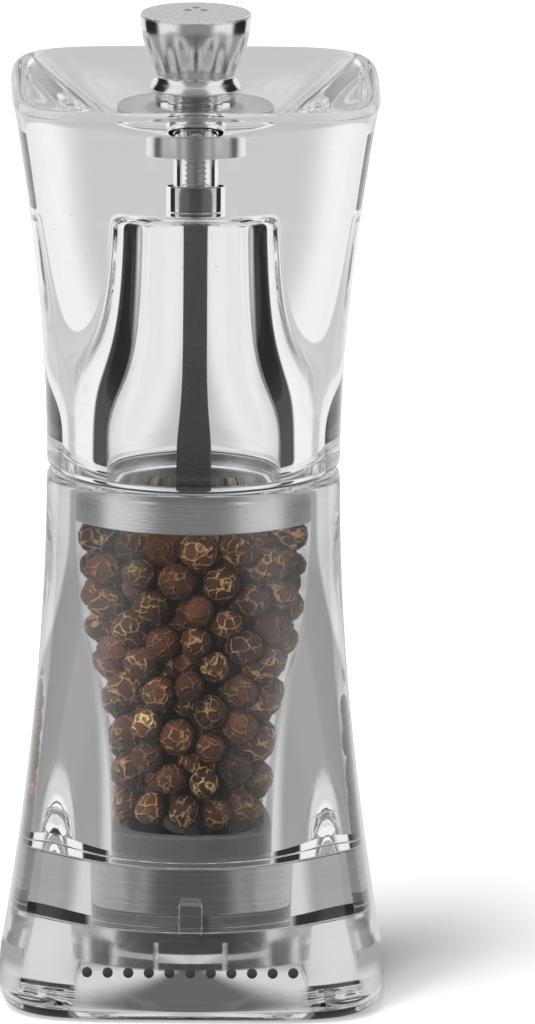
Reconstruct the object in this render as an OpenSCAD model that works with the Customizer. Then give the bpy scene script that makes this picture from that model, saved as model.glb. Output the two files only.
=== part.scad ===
// Manual pepper mill: a clear acrylic body with a waist, a clear head that turns on it,
// a chromed knob on the threaded end of a square spindle, and a conical grinder in the foot.
// The origin is the centre of the foot, on the table. +Z is up and -Y is the front.

/* [Outline] */
// Height of the clear lower body
body_h = 66.5; // [55:0.5:90]
// Height of the clear head, from its bearing face to its rim
head_h = 49.4; // [41:0.1:65]
// Thickness of the lower body's wall at the waist
waist_wall = 3.55; // [2.9:0.05:5]
// How far the foot stands out beyond the waist on each side
foot_flare = 6.2; // [5.2:0.1:9]
// How far the rim stands out beyond the waist on each side
rim_flare = 4.7; // [3:0.1:8]
// How fast the outline leaves the waist, where 2 is a parabola
flare_power = 1.9; // [1.5:0.1:2.5]
// How square the foot and the rim are in plan, where 2 is a circle
square_power = 5; // [3:0.5:8]
// Share of each height, next to the waist, that stays round in plan
round_share = 0.1; // [0.05:0.01:0.3]
// Share of each height at which the plan is fully square
square_share = 0.7; // [0.5:0.01:0.95]
// Radius of the foot's bottom edge
foot_edge_r = 2.6; // [1:0.1:3]
// Radius of the edges at the waist
waist_edge_r = 0.9; // [0.4:0.1:1.2]
// Radius of the head's rim
rim_edge_r = 1.2; // [0.6:0.1:1.6]
// Angle at which the head and everything that turns with it is left
head_angle = 1; // [-45:0.5:45]

/* [Chamber and collar] */
// Radius of the pepper chamber
chamber_r = 15; // [14:0.1:20]
// Depth of the steel collar inside the chamber's mouth
collar_h = 5.3; // [4:0.1:9]
// Wall thickness of the collar
collar_t = 0.9; // [0.6:0.1:1.5]
// Thickness of the collar's flange on top of the body
collar_flange_t = 0.3; // [0.2:0.05:0.6]
// Thickness of the slip ring that the head turns on
slip_ring_t = 0.3; // [0.2:0.05:0.6]

/* [Head] */
// Depth of the dish in the top of the head
dish_depth = 4.1; // [2.5:0.1:5]
// Wall thickness of the spigot that centres the head in the collar
spigot_wall = 3; // [1.5:0.1:4]
// How much narrower the cavity is at its ceiling, for the mould's draft
cavity_draft = 0.7; // [0:0.1:1.5]
// Radius of the cavity's ceiling edge
cavity_edge_r = 1.6; // [0.8:0.1:3]
// Thickness of acrylic between the cavity and the dish
crown_t = 10.4; // [9:0.1:14]
// Length of that spigot
spigot_h = 2.2; // [1.5:0.1:3.5]
// Clear space round the spindle's thread in the head's bore
bore_gap = 0.8; // [0.3:0.1:0.9]
// Least wall thickness of the drive bush, at the corners of its hole
bush_wall = 0.6; // [0.4:0.1:1.5]
// Length of the drive bush in the acrylic
bush_l = 3.4; // [2.5:0.1:5]

/* [Knob and its seat] */
// Radius of the clear disc under the knob
seat_r = 9.9; // [8:0.1:12]
// Thickness of that disc
seat_t = 0.8; // [0.6:0.1:2]
// Radius of the disc's plug in the head
plug_r = 6.2; // [5:0.1:7.5]
// Length of the disc's plug
plug_l = 3; // [2:0.1:4]
// Radius of the washer between disc and knob
washer_r = 5.1; // [4.5:0.1:6]
// Thickness of that washer
washer_t = 2.1; // [1.5:0.1:3]
// Radius of the knob at its top edge
knob_r = 7; // [6.4:0.1:10]
// Radius of the knob's neck
neck_r = 5.1; // [4.8:0.1:6]
// Radius of the skirt below the neck
skirt_r = 5.9; // [5.2:0.1:7]
// Height of the knob without its dome
knob_h = 9.8; // [8:0.1:14]
// Rise of the knob's domed top
dome_h = 0.4; // [0.2:0.1:1.5]
// Radius of each dot of the knob's mark
dot_r = 0.5; // [0.3:0.05:0.8]

/* [Spindle] */
// Width of the square spindle across its flats
bar_w = 4.3; // [4.2:0.1:5.2]
// Radius of the spindle's thread
thread_r = 2; // [1.6:0.1:2.1]
// Pitch of that thread
thread_pitch = 0.7; // [0.5:0.05:1]
// Depth of that thread
thread_depth = 0.38; // [0.2:0.02:0.45]
// Length of thread above the washer
thread_reach = 4.6; // [3:0.1:5.5]
// Furthest that the spindle rises from rest, for the finest grind
travel_up = 0.35; // [0.2:0.05:0.5]

/* [Grinder] */
// Clear height under the retaining ring
foot_recess = 5.9; // [5.5:0.1:8]
// Height of the retaining ring
ring_h = 5.1; // [4.2:0.1:7]
// Width of each key on the retaining ring
key_w = 2.9; // [2:0.1:4]
// Height of each key on the retaining ring
key_h = 3.2; // [2:0.1:4]
// Thickness of the housing's flange
flange_t = 1.5; // [1:0.1:2.5]
// Height of the steel band
band_h = 6.1; // [5:0.1:9]
// Thickness of the steel band
band_t = 0.5; // [0.3:0.1:0.8]
// Height of the housing's throat inside the chamber
throat_h = 3.4; // [3:0.1:5]
// How much smaller the fixed grinding ring is than the chamber
burr_step = 2.5; // [2.2:0.1:3.5]
// Wall thickness of that ring at its narrowest
burr_wall = 2.15; // [1.5:0.05:3]
// Height of the fixed grinding ring
burr_h = 9; // [8:0.1:9.5]
// Width of the cone's flat top outside the spring
cone_rim = 1.05; // [0.6:0.05:2]
// Height of the grinding cone
cone_h = 8.1; // [7:0.1:8.6]
// Gap between cone and ring at their narrowest, at rest
grind_gap = 0.35; // [0.3:0.01:0.6]
// Number of teeth on the cone
cone_teeth = 14; // [8:1:20]
// Number of teeth in the ring
burr_teeth = 18; // [10:1:26]
// Number of arms on the bearing bracket
arm_count = 3; // [3:1:4]
// Width of each of those arms
arm_w = 2.4; // [1.6:0.1:3.5]
// Wire diameter of the spring
wire_d = 0.5; // [0.4:0.05:0.6]
// Number of the spring's turns
spring_turns = 4.5; // [3:0.5:5]

/* [Peppercorns] */
// Diameter of a peppercorn
corn_d = 4.8; // [4:0.1:5.6]
// Clear space left around each peppercorn
corn_gap = 0.15; // [0.05:0.05:0.5]

/* [Hidden] */
$fn = 96;
eps = 0.5; // how far a cutting shape runs past the face it opens
free = 0.05; // clearance all round a piece that is put in by hand
run = 0.07; // radial clearance of a turning fit
sides = 48; // corners of each ring of a lofted shell

// Fixed steps and walls that the named sizes don't cover
recess_step = 6; // how much wider than the chamber the foot's recess is
socket_step = 3.3; // how much wider than the chamber the housing's socket is
seat_step = 1.6; // how much narrower than the chamber the bracket's seat is
sleeve_t = 1.8; // wall of the housing's sleeve round the grinding ring
skirt_rise = 0.6; // how far the sleeve stays up inside the retaining ring
burr_inset = 1; // how far the grinding ring stays up inside the sleeve
cone_drop = 0.6; // how far the cone hangs out below the grinding ring
cone_base_h = 0.6; // straight part of the cone at its widest
burr_lip = 1.5; // wall of the grinding ring at its top
ledge_depth = 3; // depth of the bracket's seat below the top of the throat
hub_lift = 0.7; // height of the bracket's hub above that seat
hub_t = 2.3; // wall of the bracket's hub with its bush
hub_bush_t = 1.1; // wall of that bush
coil_gap = 0.3; // clear space between the spindle's corners and the spring
spindle_inset = 0.3; // how far the spindle ends inside the cone
flange_inset = 0.4; // how far the collar's flange stays in from the waist's edge
band_gap = 0.3; // clear space between the steel band and the socket
bush_flange_t = 0.6; // thickness of the drive bush's flange
bush_flange_w = 0.8; // how far that flange stands out
insert_t = 1.9; // wall of the knob's threaded insert
insert_spare = 0.6; // room left in the insert above the spindle's end
seat_chamfer = 0.2; // chamfer on the clear disc's edge
mark_depth = 0.4; // depth of the knob's mark

// Outline
waist_half = chamber_r + waist_wall;
head_z = body_h + collar_flange_t + slip_ring_t + free;
rim_z = head_z + head_h;
floor_z = rim_z - dish_depth;
ceiling_z = floor_z - crown_t;

// Foot and grinder, from the table up
counterbore_r = chamber_r + recess_step;
socket_r = chamber_r + socket_step;
counterbore_z = foot_recess + ring_h;
flange_z = counterbore_z + flange_t;
band_z = flange_z + band_h;
throat_z = band_z + throat_h;
burr_r = chamber_r - burr_step;
sleeve_r = burr_r + sleeve_t;
ring_bore_r = sleeve_r + 2 * free;
band_r = socket_r - band_gap;
flange_r = waist_half - waist_edge_r - flange_inset;
skirt_z = foot_recess + skirt_rise;
burr_z = skirt_z + burr_inset;
burr_top_z = burr_z + burr_h;
cone_r = burr_r - burr_wall - grind_gap;
cone_bottom_z = burr_z - cone_drop;
cone_top_z = cone_bottom_z + cone_h;
ledge_z = throat_z - ledge_depth;
bracket_seat_r = chamber_r - seat_step;
washer_hole_r = 1.6;
cone_washer_t = 0.8;
cone_washer_z = cone_bottom_z - cone_washer_t;
screw_r = 1.45;
screw_head_r = 2.8;
screw_head_h = 1.4;
screw_l = 6.4;

// Spindle and its bearings
bar_sweep_r = bar_w / sqrt(2);
bar_hole = bar_w + 2 * free;
bearing_r = bar_sweep_r + run;
hub_r = bearing_r + hub_t;
bearing_l = 2.8;
thrust_t = 0.6;
coil_r = bar_sweep_r + wire_d / 2 + coil_gap;
cone_top_r = coil_r + wire_d / 2 + cone_rim;
hub_z = ledge_z + hub_lift;
thrust_z = hub_z - free - thrust_t;
spindle_bottom_z = cone_bottom_z + spindle_inset;

// Head fittings
spigot_r = chamber_r - collar_t - run;
cavity_r = spigot_r - spigot_wall;
cavity_top_r = cavity_r - cavity_draft;
head_bore_r = thread_r + bore_gap;
bush_r = bar_hole / sqrt(2) + bush_wall;
bush_top_z = ceiling_z + bush_l;
seat_z = floor_z;
washer_z = seat_z + seat_t;
knob_z = washer_z + washer_t + 0.02;
thread_bottom_z = bush_top_z - travel_up + 0.15;
thread_top_z = knob_z + thread_reach;
insert_r = thread_r + insert_t;
insert_l = thread_reach + travel_up + insert_spare;

// Peppercorns
corn_r = corn_d / 2;
corn_step = corn_d + corn_gap;
outer_ring_r = chamber_r - corn_gap / 2 - corn_r;
inner_limit_r = bar_sweep_r + corn_r + corn_gap;
corn_rings = floor((outer_ring_r - inner_limit_r) / corn_step) + 1;
corn_z = max(throat_z, hub_z + bearing_l) + corn_r + corn_gap / 2;
corn_top_z = body_h - collar_h - corn_gap / 2 - corn_r;

// ---- Shapes that several pieces share ----

function smooth(u) = let (c = min(max(u, 0), 1)) c * c * (3 - 2 * c);

// Half-width of a shell at a share u of its height away from the waist
function half_width(flare, u) = waist_half + flare * pow(u, flare_power);

// Exponent of the plan curve at that share
function plan_power(u) =
  2 + (square_power - 2) * smooth((u - round_share) / (square_share - round_share));

// Points of a superellipse of half-width a and exponent n
function plan_ring(a, n, z) = [
  for (i = [0 : sides - 1])
    let (c = cos(360 * i / sides), s = sin(360 * i / sides))
      [a * sign(c) * pow(abs(c), 2 / n), a * sign(s) * pow(abs(s), 2 / n), z]
];

// Points of an arc about [x, y]
function arc(x, y, r, from, to, steps = 8) = [
  for (k = [0 : steps]) let (a = from + (to - from) * k / steps) [x + r * cos(a), y + r * sin(a)]
];

// A closed skin over rings that all have the same number of points
module skin(rings) {
  n = len(rings[0]);
  m = len(rings);
  points = [for (ring = rings) each ring];
  walls = [
    for (j = [0 : m - 2])
      for (i = [0 : n - 1])
        let (a = j * n + i, b = j * n + (i + 1) % n)
          each [[a, a + n, b + n], [a, b + n, b]]
  ];
  bottom = [for (i = [0 : n - 1]) i];
  top = [for (i = [n - 1 : -1 : 0]) (m - 1) * n + i];
  polyhedron(points = points, faces = concat(walls, [bottom], [top]), convexity = 6);
}

module tube(r_out, r_in, z0, z1) {
  difference() {
    translate([0, 0, z0]) cylinder(h = z1 - z0, r = r_out);
    translate([0, 0, z0 - eps]) cylinder(h = z1 - z0 + 2 * eps, r = r_in);
  }
}

// A square bar or hole along the axis
module square_bar(w, z0, z1) {
  translate([-w / 2, -w / 2, z0]) cube([w, w, z1 - z0]);
}

// Copies of the children turned about the axis
module around(count, first = 0) {
  for (i = [0 : count - 1]) rotate([0, 0, first + 360 * i / count]) children();
}

// ---- Clear shells ----

// Rings of the lower body, from the foot's underside to the waist
body_rings = let (top_z = body_h - waist_edge_r, steps = 12) concat(
  [
    for (a = [0 : 22.5 : 67.5])
      let (z = foot_edge_r * (1 - cos(a)), u = 1 - z / body_h)
        plan_ring(half_width(foot_flare, u) - foot_edge_r * (1 - sin(a)), plan_power(u), z)
  ],
  [
    for (k = [0 : steps])
      let (z = foot_edge_r + (top_z - foot_edge_r) * k / steps, u = 1 - z / body_h)
        plan_ring(half_width(foot_flare, u), plan_power(u), z)
  ],
  [
    for (a = [30 : 30 : 90])
      plan_ring(waist_half - waist_edge_r * (1 - cos(a)), 2, top_z + waist_edge_r * sin(a))
  ]
);

module lower_body() {
  color("white", 0.35)
    difference() {
      skin(body_rings);
      translate([0, 0, -eps]) cylinder(h = body_h + 2 * eps, r = chamber_r);
      translate([0, 0, -eps]) cylinder(h = band_z + 0.2 + eps, r = socket_r);
      translate([0, 0, -eps]) cylinder(h = counterbore_z + eps, r = counterbore_r);
      // slots for the retaining ring's keys
      around(3, -90)
        translate([socket_r - 1, -key_w / 2 - free, counterbore_z - eps])
          cube([2.6, key_w + 2 * free, key_h + 0.2 + eps]);
    }
}

// Rings of the head, from its bearing face over the rim and down into the dish
head_rings = let (
  edge = waist_edge_r,
  low_z = head_z + edge,
  high_z = rim_z - rim_edge_r,
  steps = 10,
  rim_half = waist_half + rim_flare,
  lip_a = rim_half - rim_edge_r * (1 + cos(30)),
  lip_z = rim_z - rim_edge_r * (1 - sin(30)),
  dish_steps = 5
) concat(
  [
    for (a = [0 : 30 : 60])
      plan_ring(waist_half - edge * (1 - sin(a)), 2, head_z + edge * (1 - cos(a)))
  ],
  [
    for (k = [0 : steps])
      let (z = low_z + (high_z - low_z) * k / steps, u = (z - head_z) / head_h)
        plan_ring(half_width(rim_flare, u), plan_power(u), z)
  ],
  [
    for (a = [30 : 30 : 150])
      plan_ring(rim_half - rim_edge_r * (1 - cos(a)), square_power, high_z + rim_edge_r * sin(a))
  ],
  [
    for (k = [1 : dish_steps])
      let (u = k / dish_steps)
        plan_ring(
          lip_a + (seat_r + 0.4 - lip_a) * u,
          square_power + (2 - square_power) * u * u,
          lip_z + (floor_z - lip_z) * u
        )
  ]
);

module head() {
  spigot_z = head_z - spigot_h;
  color("white", 0.35)
    rotate([0, 0, head_angle])
      difference() {
        union() {
          skin(head_rings);
          translate([0, 0, spigot_z]) cylinder(h = spigot_h + 1, r = spigot_r);
        }
        // cavity with a rounded ceiling edge
        rotate_extrude()
          polygon(concat(
            [[0, spigot_z - eps], [cavity_r, spigot_z - eps], [cavity_r, head_z]],
            arc(cavity_top_r - cavity_edge_r, ceiling_z - cavity_edge_r, cavity_edge_r, 0, 90),
            [[0, ceiling_z]]
          ));
        translate([0, 0, ceiling_z - eps]) cylinder(h = crown_t + 2 * eps, r = head_bore_r);
        translate([0, 0, ceiling_z - eps]) cylinder(h = bush_l + eps, r = bush_r);
        translate([0, 0, floor_z - plug_l]) cylinder(h = plug_l + eps, r = plug_r);
      }
}

// ---- Fittings of the lower body ----

module collar() {
  low_z = body_h - collar_h;
  inner_r = chamber_r - collar_t;
  color("silver")
    rotate_extrude()
      polygon([
        [inner_r + 0.5, low_z],
        [chamber_r, low_z],
        [chamber_r, body_h],
        [flange_r, body_h],
        [flange_r, body_h + collar_flange_t],
        [inner_r, body_h + collar_flange_t],
        [inner_r, low_z + 0.8]
      ]);
}

module slip_ring() {
  z = body_h + collar_flange_t;
  color("dimgray") tube(flange_r - 0.2, chamber_r + 0.3, z, z + slip_ring_t);
}

module mechanism_housing() {
  drum_r = band_r - band_t;
  flange_gap = 0.15;
  throat_gap = 0.1;
  ledge_w = 1.2;
  color("#4a4a4c")
    rotate_extrude()
      polygon([
        [burr_r, skirt_z],
        [sleeve_r, skirt_z],
        [sleeve_r, counterbore_z],
        [socket_r - flange_gap, counterbore_z],
        [socket_r - flange_gap, flange_z],
        [drum_r, flange_z],
        [drum_r, band_z],
        [chamber_r - throat_gap, band_z],
        [chamber_r - throat_gap, throat_z],
        [bracket_seat_r, throat_z],
        [bracket_seat_r, ledge_z],
        [bracket_seat_r - ledge_w, ledge_z],
        [burr_r - burr_lip + 0.1, burr_top_z],
        [burr_r, burr_top_z]
      ]);
}

module steel_band() {
  color("lightgray") tube(band_r, band_r - band_t, flange_z, band_z);
}

// Clear ring that holds the housing up in the foot, with keys that stop it turning
module retaining_ring() {
  notch_w = 9.4;
  notch_h = 2.6;
  notch_depth = 1.4;
  key_t = 1.3;
  key_r = socket_r + 2 * free;
  color("white", 0.5)
    difference() {
      union() {
        tube(counterbore_r - 2 * free, ring_bore_r, foot_recess, counterbore_z);
        around(3, -90)
          translate([key_r, -key_w / 2, counterbore_z - 1]) cube([key_t, key_w, key_h + 1]);
      }
      // finger notches in the lower inner edge
      around(4, -90)
        translate([ring_bore_r - 1, -notch_w / 2, foot_recess - eps])
          cube([notch_depth + 1, notch_w, notch_h + eps]);
    }
}

// Fixed ring with slanting teeth on its inner face
module grinding_ring() {
  low_r = cone_r + grind_gap;
  high_r = burr_r - burr_lip;
  groove = [1.7, 0.9, burr_h * 1.5];
  groove_lean = 24;
  color("#3a3a3d")
    difference() {
      translate([0, 0, burr_z]) cylinder(h = burr_h, r = burr_r);
      translate([0, 0, burr_z - 0.01]) cylinder(h = burr_h + 0.02, r1 = low_r, r2 = high_r);
      around(burr_teeth)
        translate([(low_r + high_r) / 2, 0, burr_z + burr_h / 2])
          rotate([groove_lean, 0, 0])
            cube(groove, center = true);
    }
}

module bearing_bracket() {
  rim_t = 1.35;
  rim_h = 2;
  arm_h = 1.3;
  color("#3a3a3d")
    union() {
      tube(bracket_seat_r - free, bracket_seat_r - free - rim_t, ledge_z, ledge_z + rim_h);
      difference() {
        union() {
          translate([0, 0, hub_z]) cylinder(h = bearing_l - 0.2, r = hub_r);
          around(arm_count, -90)
            translate([0, -arm_w / 2, hub_z]) cube([bracket_seat_r - rim_t / 2, arm_w, arm_h]);
        }
        translate([0, 0, hub_z - eps]) cylinder(h = bearing_l + 2 * eps, r = bearing_r + hub_bush_t);
      }
    }
}

module bracket_bush() {
  color("#d8d2c4") tube(bearing_r + hub_bush_t, bearing_r, hub_z, hub_z + bearing_l);
}

// ---- Parts that turn with the head ----

module thrust_washer() {
  color("silver")
    rotate([0, 0, head_angle])
      difference() {
        translate([0, 0, thrust_z]) cylinder(h = thrust_t, r = bar_sweep_r + 1.5);
        square_bar(bar_hole, thrust_z - eps, thrust_z + thrust_t + eps);
      }
}

// Compression spring between the cone and the thrust washer
module spring() {
  steps_a_turn = 20;
  steps = round(spring_turns * steps_a_turn);
  wire_sides = 8;
  low_z = cone_top_z + wire_d / 2 + 0.02;
  rise = thrust_z - wire_d - 0.04 - cone_top_z;
  rings = [
    for (k = [0 : steps])
      let (a = 360 * k / steps_a_turn, z = low_z + rise * smooth(k / steps))
        [
          for (i = [0 : wire_sides - 1])
            let (t = -360 * i / wire_sides, r = coil_r + wire_d / 2 * cos(t))
              [r * cos(a), r * sin(a), z + wire_d / 2 * sin(t)]
        ]
  ];
  color("gainsboro") rotate([0, 0, head_angle]) skin(rings);
}

module spindle() {
  root_r = thread_r - thread_depth;
  ridges = floor((thread_top_z - thread_bottom_z) / thread_pitch);
  chamfer = bar_sweep_r - thread_r;
  color("#4b4b4e")
    rotate([0, 0, head_angle])
      difference() {
        union() {
          intersection() {
            square_bar(bar_w, spindle_bottom_z, thread_bottom_z);
            union() {
              translate([0, 0, spindle_bottom_z])
                cylinder(h = thread_bottom_z - chamfer - spindle_bottom_z, r = bar_sweep_r + 1);
              translate([0, 0, thread_bottom_z - chamfer - 0.01])
                cylinder(h = chamfer + 0.01, r1 = bar_sweep_r, r2 = thread_r);
            }
          }
          // the thread, as coaxial ridges on its root
          translate([0, 0, thread_bottom_z - 1])
            cylinder(h = thread_top_z - thread_bottom_z + 1, r = root_r);
          for (k = [0 : ridges - 1])
            translate([0, 0, thread_top_z - (k + 0.5) * thread_pitch])
              rotate_extrude()
                polygon([
                  [0, -thread_pitch * 0.45],
                  [root_r, -thread_pitch * 0.45],
                  [thread_r, -thread_pitch * 0.08],
                  [thread_r, thread_pitch * 0.08],
                  [root_r, thread_pitch * 0.45],
                  [0, thread_pitch * 0.45]
                ]);
        }
        translate([0, 0, spindle_bottom_z - eps]) cylinder(h = screw_l + eps, r = screw_r + free);
      }
}

// Turning cone with slanting teeth, driven by the square bar
module grinding_cone() {
  rise = cone_h - cone_base_h;
  flute = [1.4, 0.9, rise * 1.9];
  flute_lean = 22;
  lean = atan((cone_r - cone_top_r) / rise);
  color("#343437")
    rotate([0, 0, head_angle])
      difference() {
        union() {
          translate([0, 0, cone_bottom_z]) cylinder(h = cone_base_h, r = cone_r);
          translate([0, 0, cone_bottom_z + cone_base_h])
            cylinder(h = rise, r1 = cone_r, r2 = cone_top_r);
        }
        square_bar(bar_hole, cone_bottom_z - eps, cone_top_z + eps);
        around(cone_teeth, 90 / cone_teeth)
          translate([(cone_r + cone_top_r) / 2, 0, cone_bottom_z + cone_base_h + rise / 2])
            rotate([0, -lean, 0])
              rotate([-flute_lean, 0, 0])
                cube(flute, center = true);
      }
}

module cone_washer() {
  color("silver") tube(bar_sweep_r + 1.5, washer_hole_r, cone_washer_z, cone_bottom_z);
}

// Pan-head screw with a cross recess, up into the spindle's end
module cone_screw() {
  head_low_z = cone_washer_z - screw_head_h;
  chamfer = 0.4;
  recess = [3.2, 0.6, 0.9];
  color("silver")
    rotate([0, 0, head_angle])
      difference() {
        union() {
          translate([0, 0, head_low_z + chamfer]) cylinder(h = screw_head_h - chamfer, r = screw_head_r);
          translate([0, 0, head_low_z])
            cylinder(h = chamfer, r1 = screw_head_r - chamfer, r2 = screw_head_r);
          translate([0, 0, cone_washer_z - 0.01]) cylinder(h = screw_l, r = screw_r);
        }
        around(2)
          translate([-recess[0] / 2, -recess[1] / 2, head_low_z - eps])
            cube(recess + [0, 0, eps]);
      }
}

// ---- Fittings of the head ----

module drive_bush() {
  flange_low_z = ceiling_z - bush_flange_t;
  color("white", 0.5)
    rotate([0, 0, head_angle])
      difference() {
        union() {
          translate([0, 0, flange_low_z]) cylinder(h = bush_l + bush_flange_t, r = bush_r);
          translate([0, 0, flange_low_z]) cylinder(h = bush_flange_t, r = bush_r + bush_flange_w);
        }
        square_bar(bar_hole, flange_low_z - eps, bush_top_z + eps);
      }
}

module seat_disc() {
  color("white", 0.5)
    rotate([0, 0, head_angle])
      difference() {
        union() {
          translate([0, 0, seat_z]) cylinder(h = seat_t - seat_chamfer, r = seat_r);
          translate([0, 0, seat_z + seat_t - seat_chamfer])
            cylinder(h = seat_chamfer, r1 = seat_r, r2 = seat_r - seat_chamfer);
          translate([0, 0, seat_z - plug_l]) cylinder(h = plug_l + 0.1, r = plug_r - free);
        }
        translate([0, 0, seat_z - plug_l - eps])
          cylinder(h = plug_l + seat_t + 2 * eps, r = head_bore_r);
      }
}

module knob_washer() {
  color("white", 0.6) tube(washer_r, thread_r + 0.3, washer_z, washer_z + washer_t);
}

// ---- Knob ----

module knob() {
  neck_z = 1.9;
  edge_r = 0.35;
  bowl_steps = 10;
  bowl_h = knob_h - neck_z - edge_r;
  dome_r = (pow(knob_r - edge_r, 2) + dome_h * dome_h) / (2 * dome_h);
  dome_a = asin((knob_r - edge_r) / dome_r);
  color("gainsboro")
    translate([0, 0, knob_z])
      difference() {
        rotate_extrude()
          polygon(concat(
            [[0, 0], [skirt_r - 0.2, 0], [skirt_r, 0.2], [skirt_r - 0.1, 0.5]],
            [[neck_r + 0.12, neck_z - 0.5]],
            [
              for (k = [0 : bowl_steps])
                let (u = k / bowl_steps)
                  [neck_r + (knob_r - neck_r) * sin(90 * u), neck_z + bowl_h * u]
            ],
            arc(knob_r - edge_r, knob_h - edge_r, edge_r, 22.5, 90, 3),
            arc(0, knob_h + dome_h - dome_r, dome_r, 90 - dome_a * 0.98, 90, 8)
          ));
        translate([0, 0, -eps]) cylinder(h = insert_l + eps, r = insert_r);
        knob_dots(knob_h - mark_depth, 2);
      }
}

// Three round dots in a triangle, a plain mark for pepper
module knob_dots(z, h) {
  spread = 1.15;
  around(3, 90) translate([spread, 0, z]) cylinder(h = h, r = dot_r);
}

module knob_insert() {
  color("goldenrod") tube(insert_r, thread_r + 0.06, knob_z, knob_z + insert_l);
}

module knob_mark() {
  color("#222222") translate([0, 0, knob_z]) knob_dots(knob_h - mark_depth, mark_depth + dome_h);
}

// ---- Peppercorns ----

// How many corns stand in a ring of radius r
function corns_in(r) = floor(180 / asin(corn_step / 2 / r));

// Height between layers whose corns nest over the gaps of the layer below
function nest(r) = sqrt(pow(corn_step, 2) - pow(2 * r * sin(90 / corns_in(r)), 2));

module peppercorns() {
  radii = [for (k = [0 : corn_rings - 1]) outer_ring_r - k * corn_step];
  pitch = max([for (r = radii) nest(r)]);
  layers = floor((corn_top_z - corn_z) / pitch) + 1;
  color("#3b2416")
    for (layer = [0 : layers - 1])
      for (r = radii)
        for (i = [0 : corns_in(r) - 1])
          rotate([0, 0, 360 * (i + (layer % 2) / 2) / corns_in(r)])
            translate([r, 0, corn_z + layer * pitch])
              sphere(d = corn_d);
}

lower_body();
collar();
slip_ring();
mechanism_housing();
steel_band();
retaining_ring();
grinding_ring();
bearing_bracket();
bracket_bush();
peppercorns();
thrust_washer();
spring();
spindle();
grinding_cone();
cone_washer();
cone_screw();
head();
drive_bush();
seat_disc();
knob_washer();
knob();
knob_insert();
knob_mark();
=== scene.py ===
"""Looks of a clear acrylic pepper mill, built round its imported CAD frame.

Sizes in the classes are millimetres and become metres when a mesh is made.  Heights that
the frame already fixes are read from the CAD nodes' boxes.
"""

import logging
import math
from dataclasses import dataclass, field
from enum import Enum

import bpy
import numpy as np
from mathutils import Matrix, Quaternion, Vector


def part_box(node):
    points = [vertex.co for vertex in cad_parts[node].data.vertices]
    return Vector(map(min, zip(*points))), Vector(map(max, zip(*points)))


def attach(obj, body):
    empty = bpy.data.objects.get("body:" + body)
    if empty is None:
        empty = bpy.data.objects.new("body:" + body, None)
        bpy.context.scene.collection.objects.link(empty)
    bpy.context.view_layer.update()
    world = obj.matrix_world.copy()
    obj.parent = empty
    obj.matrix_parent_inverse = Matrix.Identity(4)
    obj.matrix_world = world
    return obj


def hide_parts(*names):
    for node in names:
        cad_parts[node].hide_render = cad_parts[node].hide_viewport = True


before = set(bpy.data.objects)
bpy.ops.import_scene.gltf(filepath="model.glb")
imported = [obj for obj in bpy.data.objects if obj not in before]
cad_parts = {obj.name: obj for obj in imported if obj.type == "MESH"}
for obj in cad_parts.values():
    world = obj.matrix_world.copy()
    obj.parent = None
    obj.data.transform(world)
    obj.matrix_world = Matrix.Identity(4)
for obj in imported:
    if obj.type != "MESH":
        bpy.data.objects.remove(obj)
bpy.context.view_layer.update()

MM = 0.001
# Degrees by which the head, the spindle and the spring stand turned at rest.
HEAD_TURN = 1.0
# Degrees at which the retaining ring's keys stand, and the slots of the body that take them.
KEY_BEARINGS = (-90.0, 30.0, 150.0)
LOG = logging.getLogger("pepper_mill")


class Body(Enum):
    """The CAD bodies that pieces ride on."""

    BASE = "base"
    ROTOR = "rotor"
    SPINDLE = "spindle_unit"
    HEAD = "head_unit"
    SEAT = "knob_seat"
    KNOB = "knob_unit"


# ---------------------------------------------------------------- measuring the frame


def low_z(node: str) -> float:
    """Height of a CAD node's underside, in millimetres."""
    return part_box(node)[0].z / MM


def high_z(node: str) -> float:
    """Height of a CAD node's top, in millimetres."""
    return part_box(node)[1].z / MM


# ---------------------------------------------------------------- surfaces on grids


def soften(rows: np.ndarray, fillets: np.ndarray, steps: int = 4) -> np.ndarray:
    """Rounds the corners of a profile.

    Each corner becomes a quadratic curve whose ends lie one fillet away along the two
    sides, never more than two fifths of a side.  A further point half a fillet outside
    each end keeps the neighbouring flats flat when they are shaded smooth.

    Args:
        rows: Profile points, one row each; the first two columns are radius and height.
        fillets: Fillet size at each point, where 0 leaves the point as it is.
        steps: Number of points on each rounded corner.

    Returns:
        The longer profile, with the same columns.
    """
    before, after = np.roll(rows, 1, 0), np.roll(rows, -1, 0)
    gap_before = np.linalg.norm((before - rows)[:, :2], axis=1) + 1e-9
    gap_after = np.linalg.norm((after - rows)[:, :2], axis=1) + 1e-9
    reach = np.minimum(fillets, 0.4 * np.minimum(gap_before, gap_after))
    start = rows + (before - rows) * (reach / gap_before)[:, None]
    end = rows + (after - rows) * (reach / gap_after)[:, None]
    along = np.linspace(0.0, 1.0, steps)[:, None, None]
    bend = (1 - along) ** 2 * start + 2 * along * (1 - along) * rows + along**2 * end
    lead = rows + (before - rows) * (1.12 * reach / gap_before)[:, None]
    trail = rows + (after - rows) * (1.12 * reach / gap_after)[:, None]
    whole = np.concatenate([lead[None], bend, trail[None]]).transpose(1, 0, 2)
    kept = np.where(fillets[:, None] > 0, True, np.arange(steps + 2)[None] == 1)
    return whole[kept]


def round_angles(count: int) -> np.ndarray:
    """Evenly spaced angles round a full turn, in radians."""
    return np.arange(count) * 2 * np.pi / count


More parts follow.
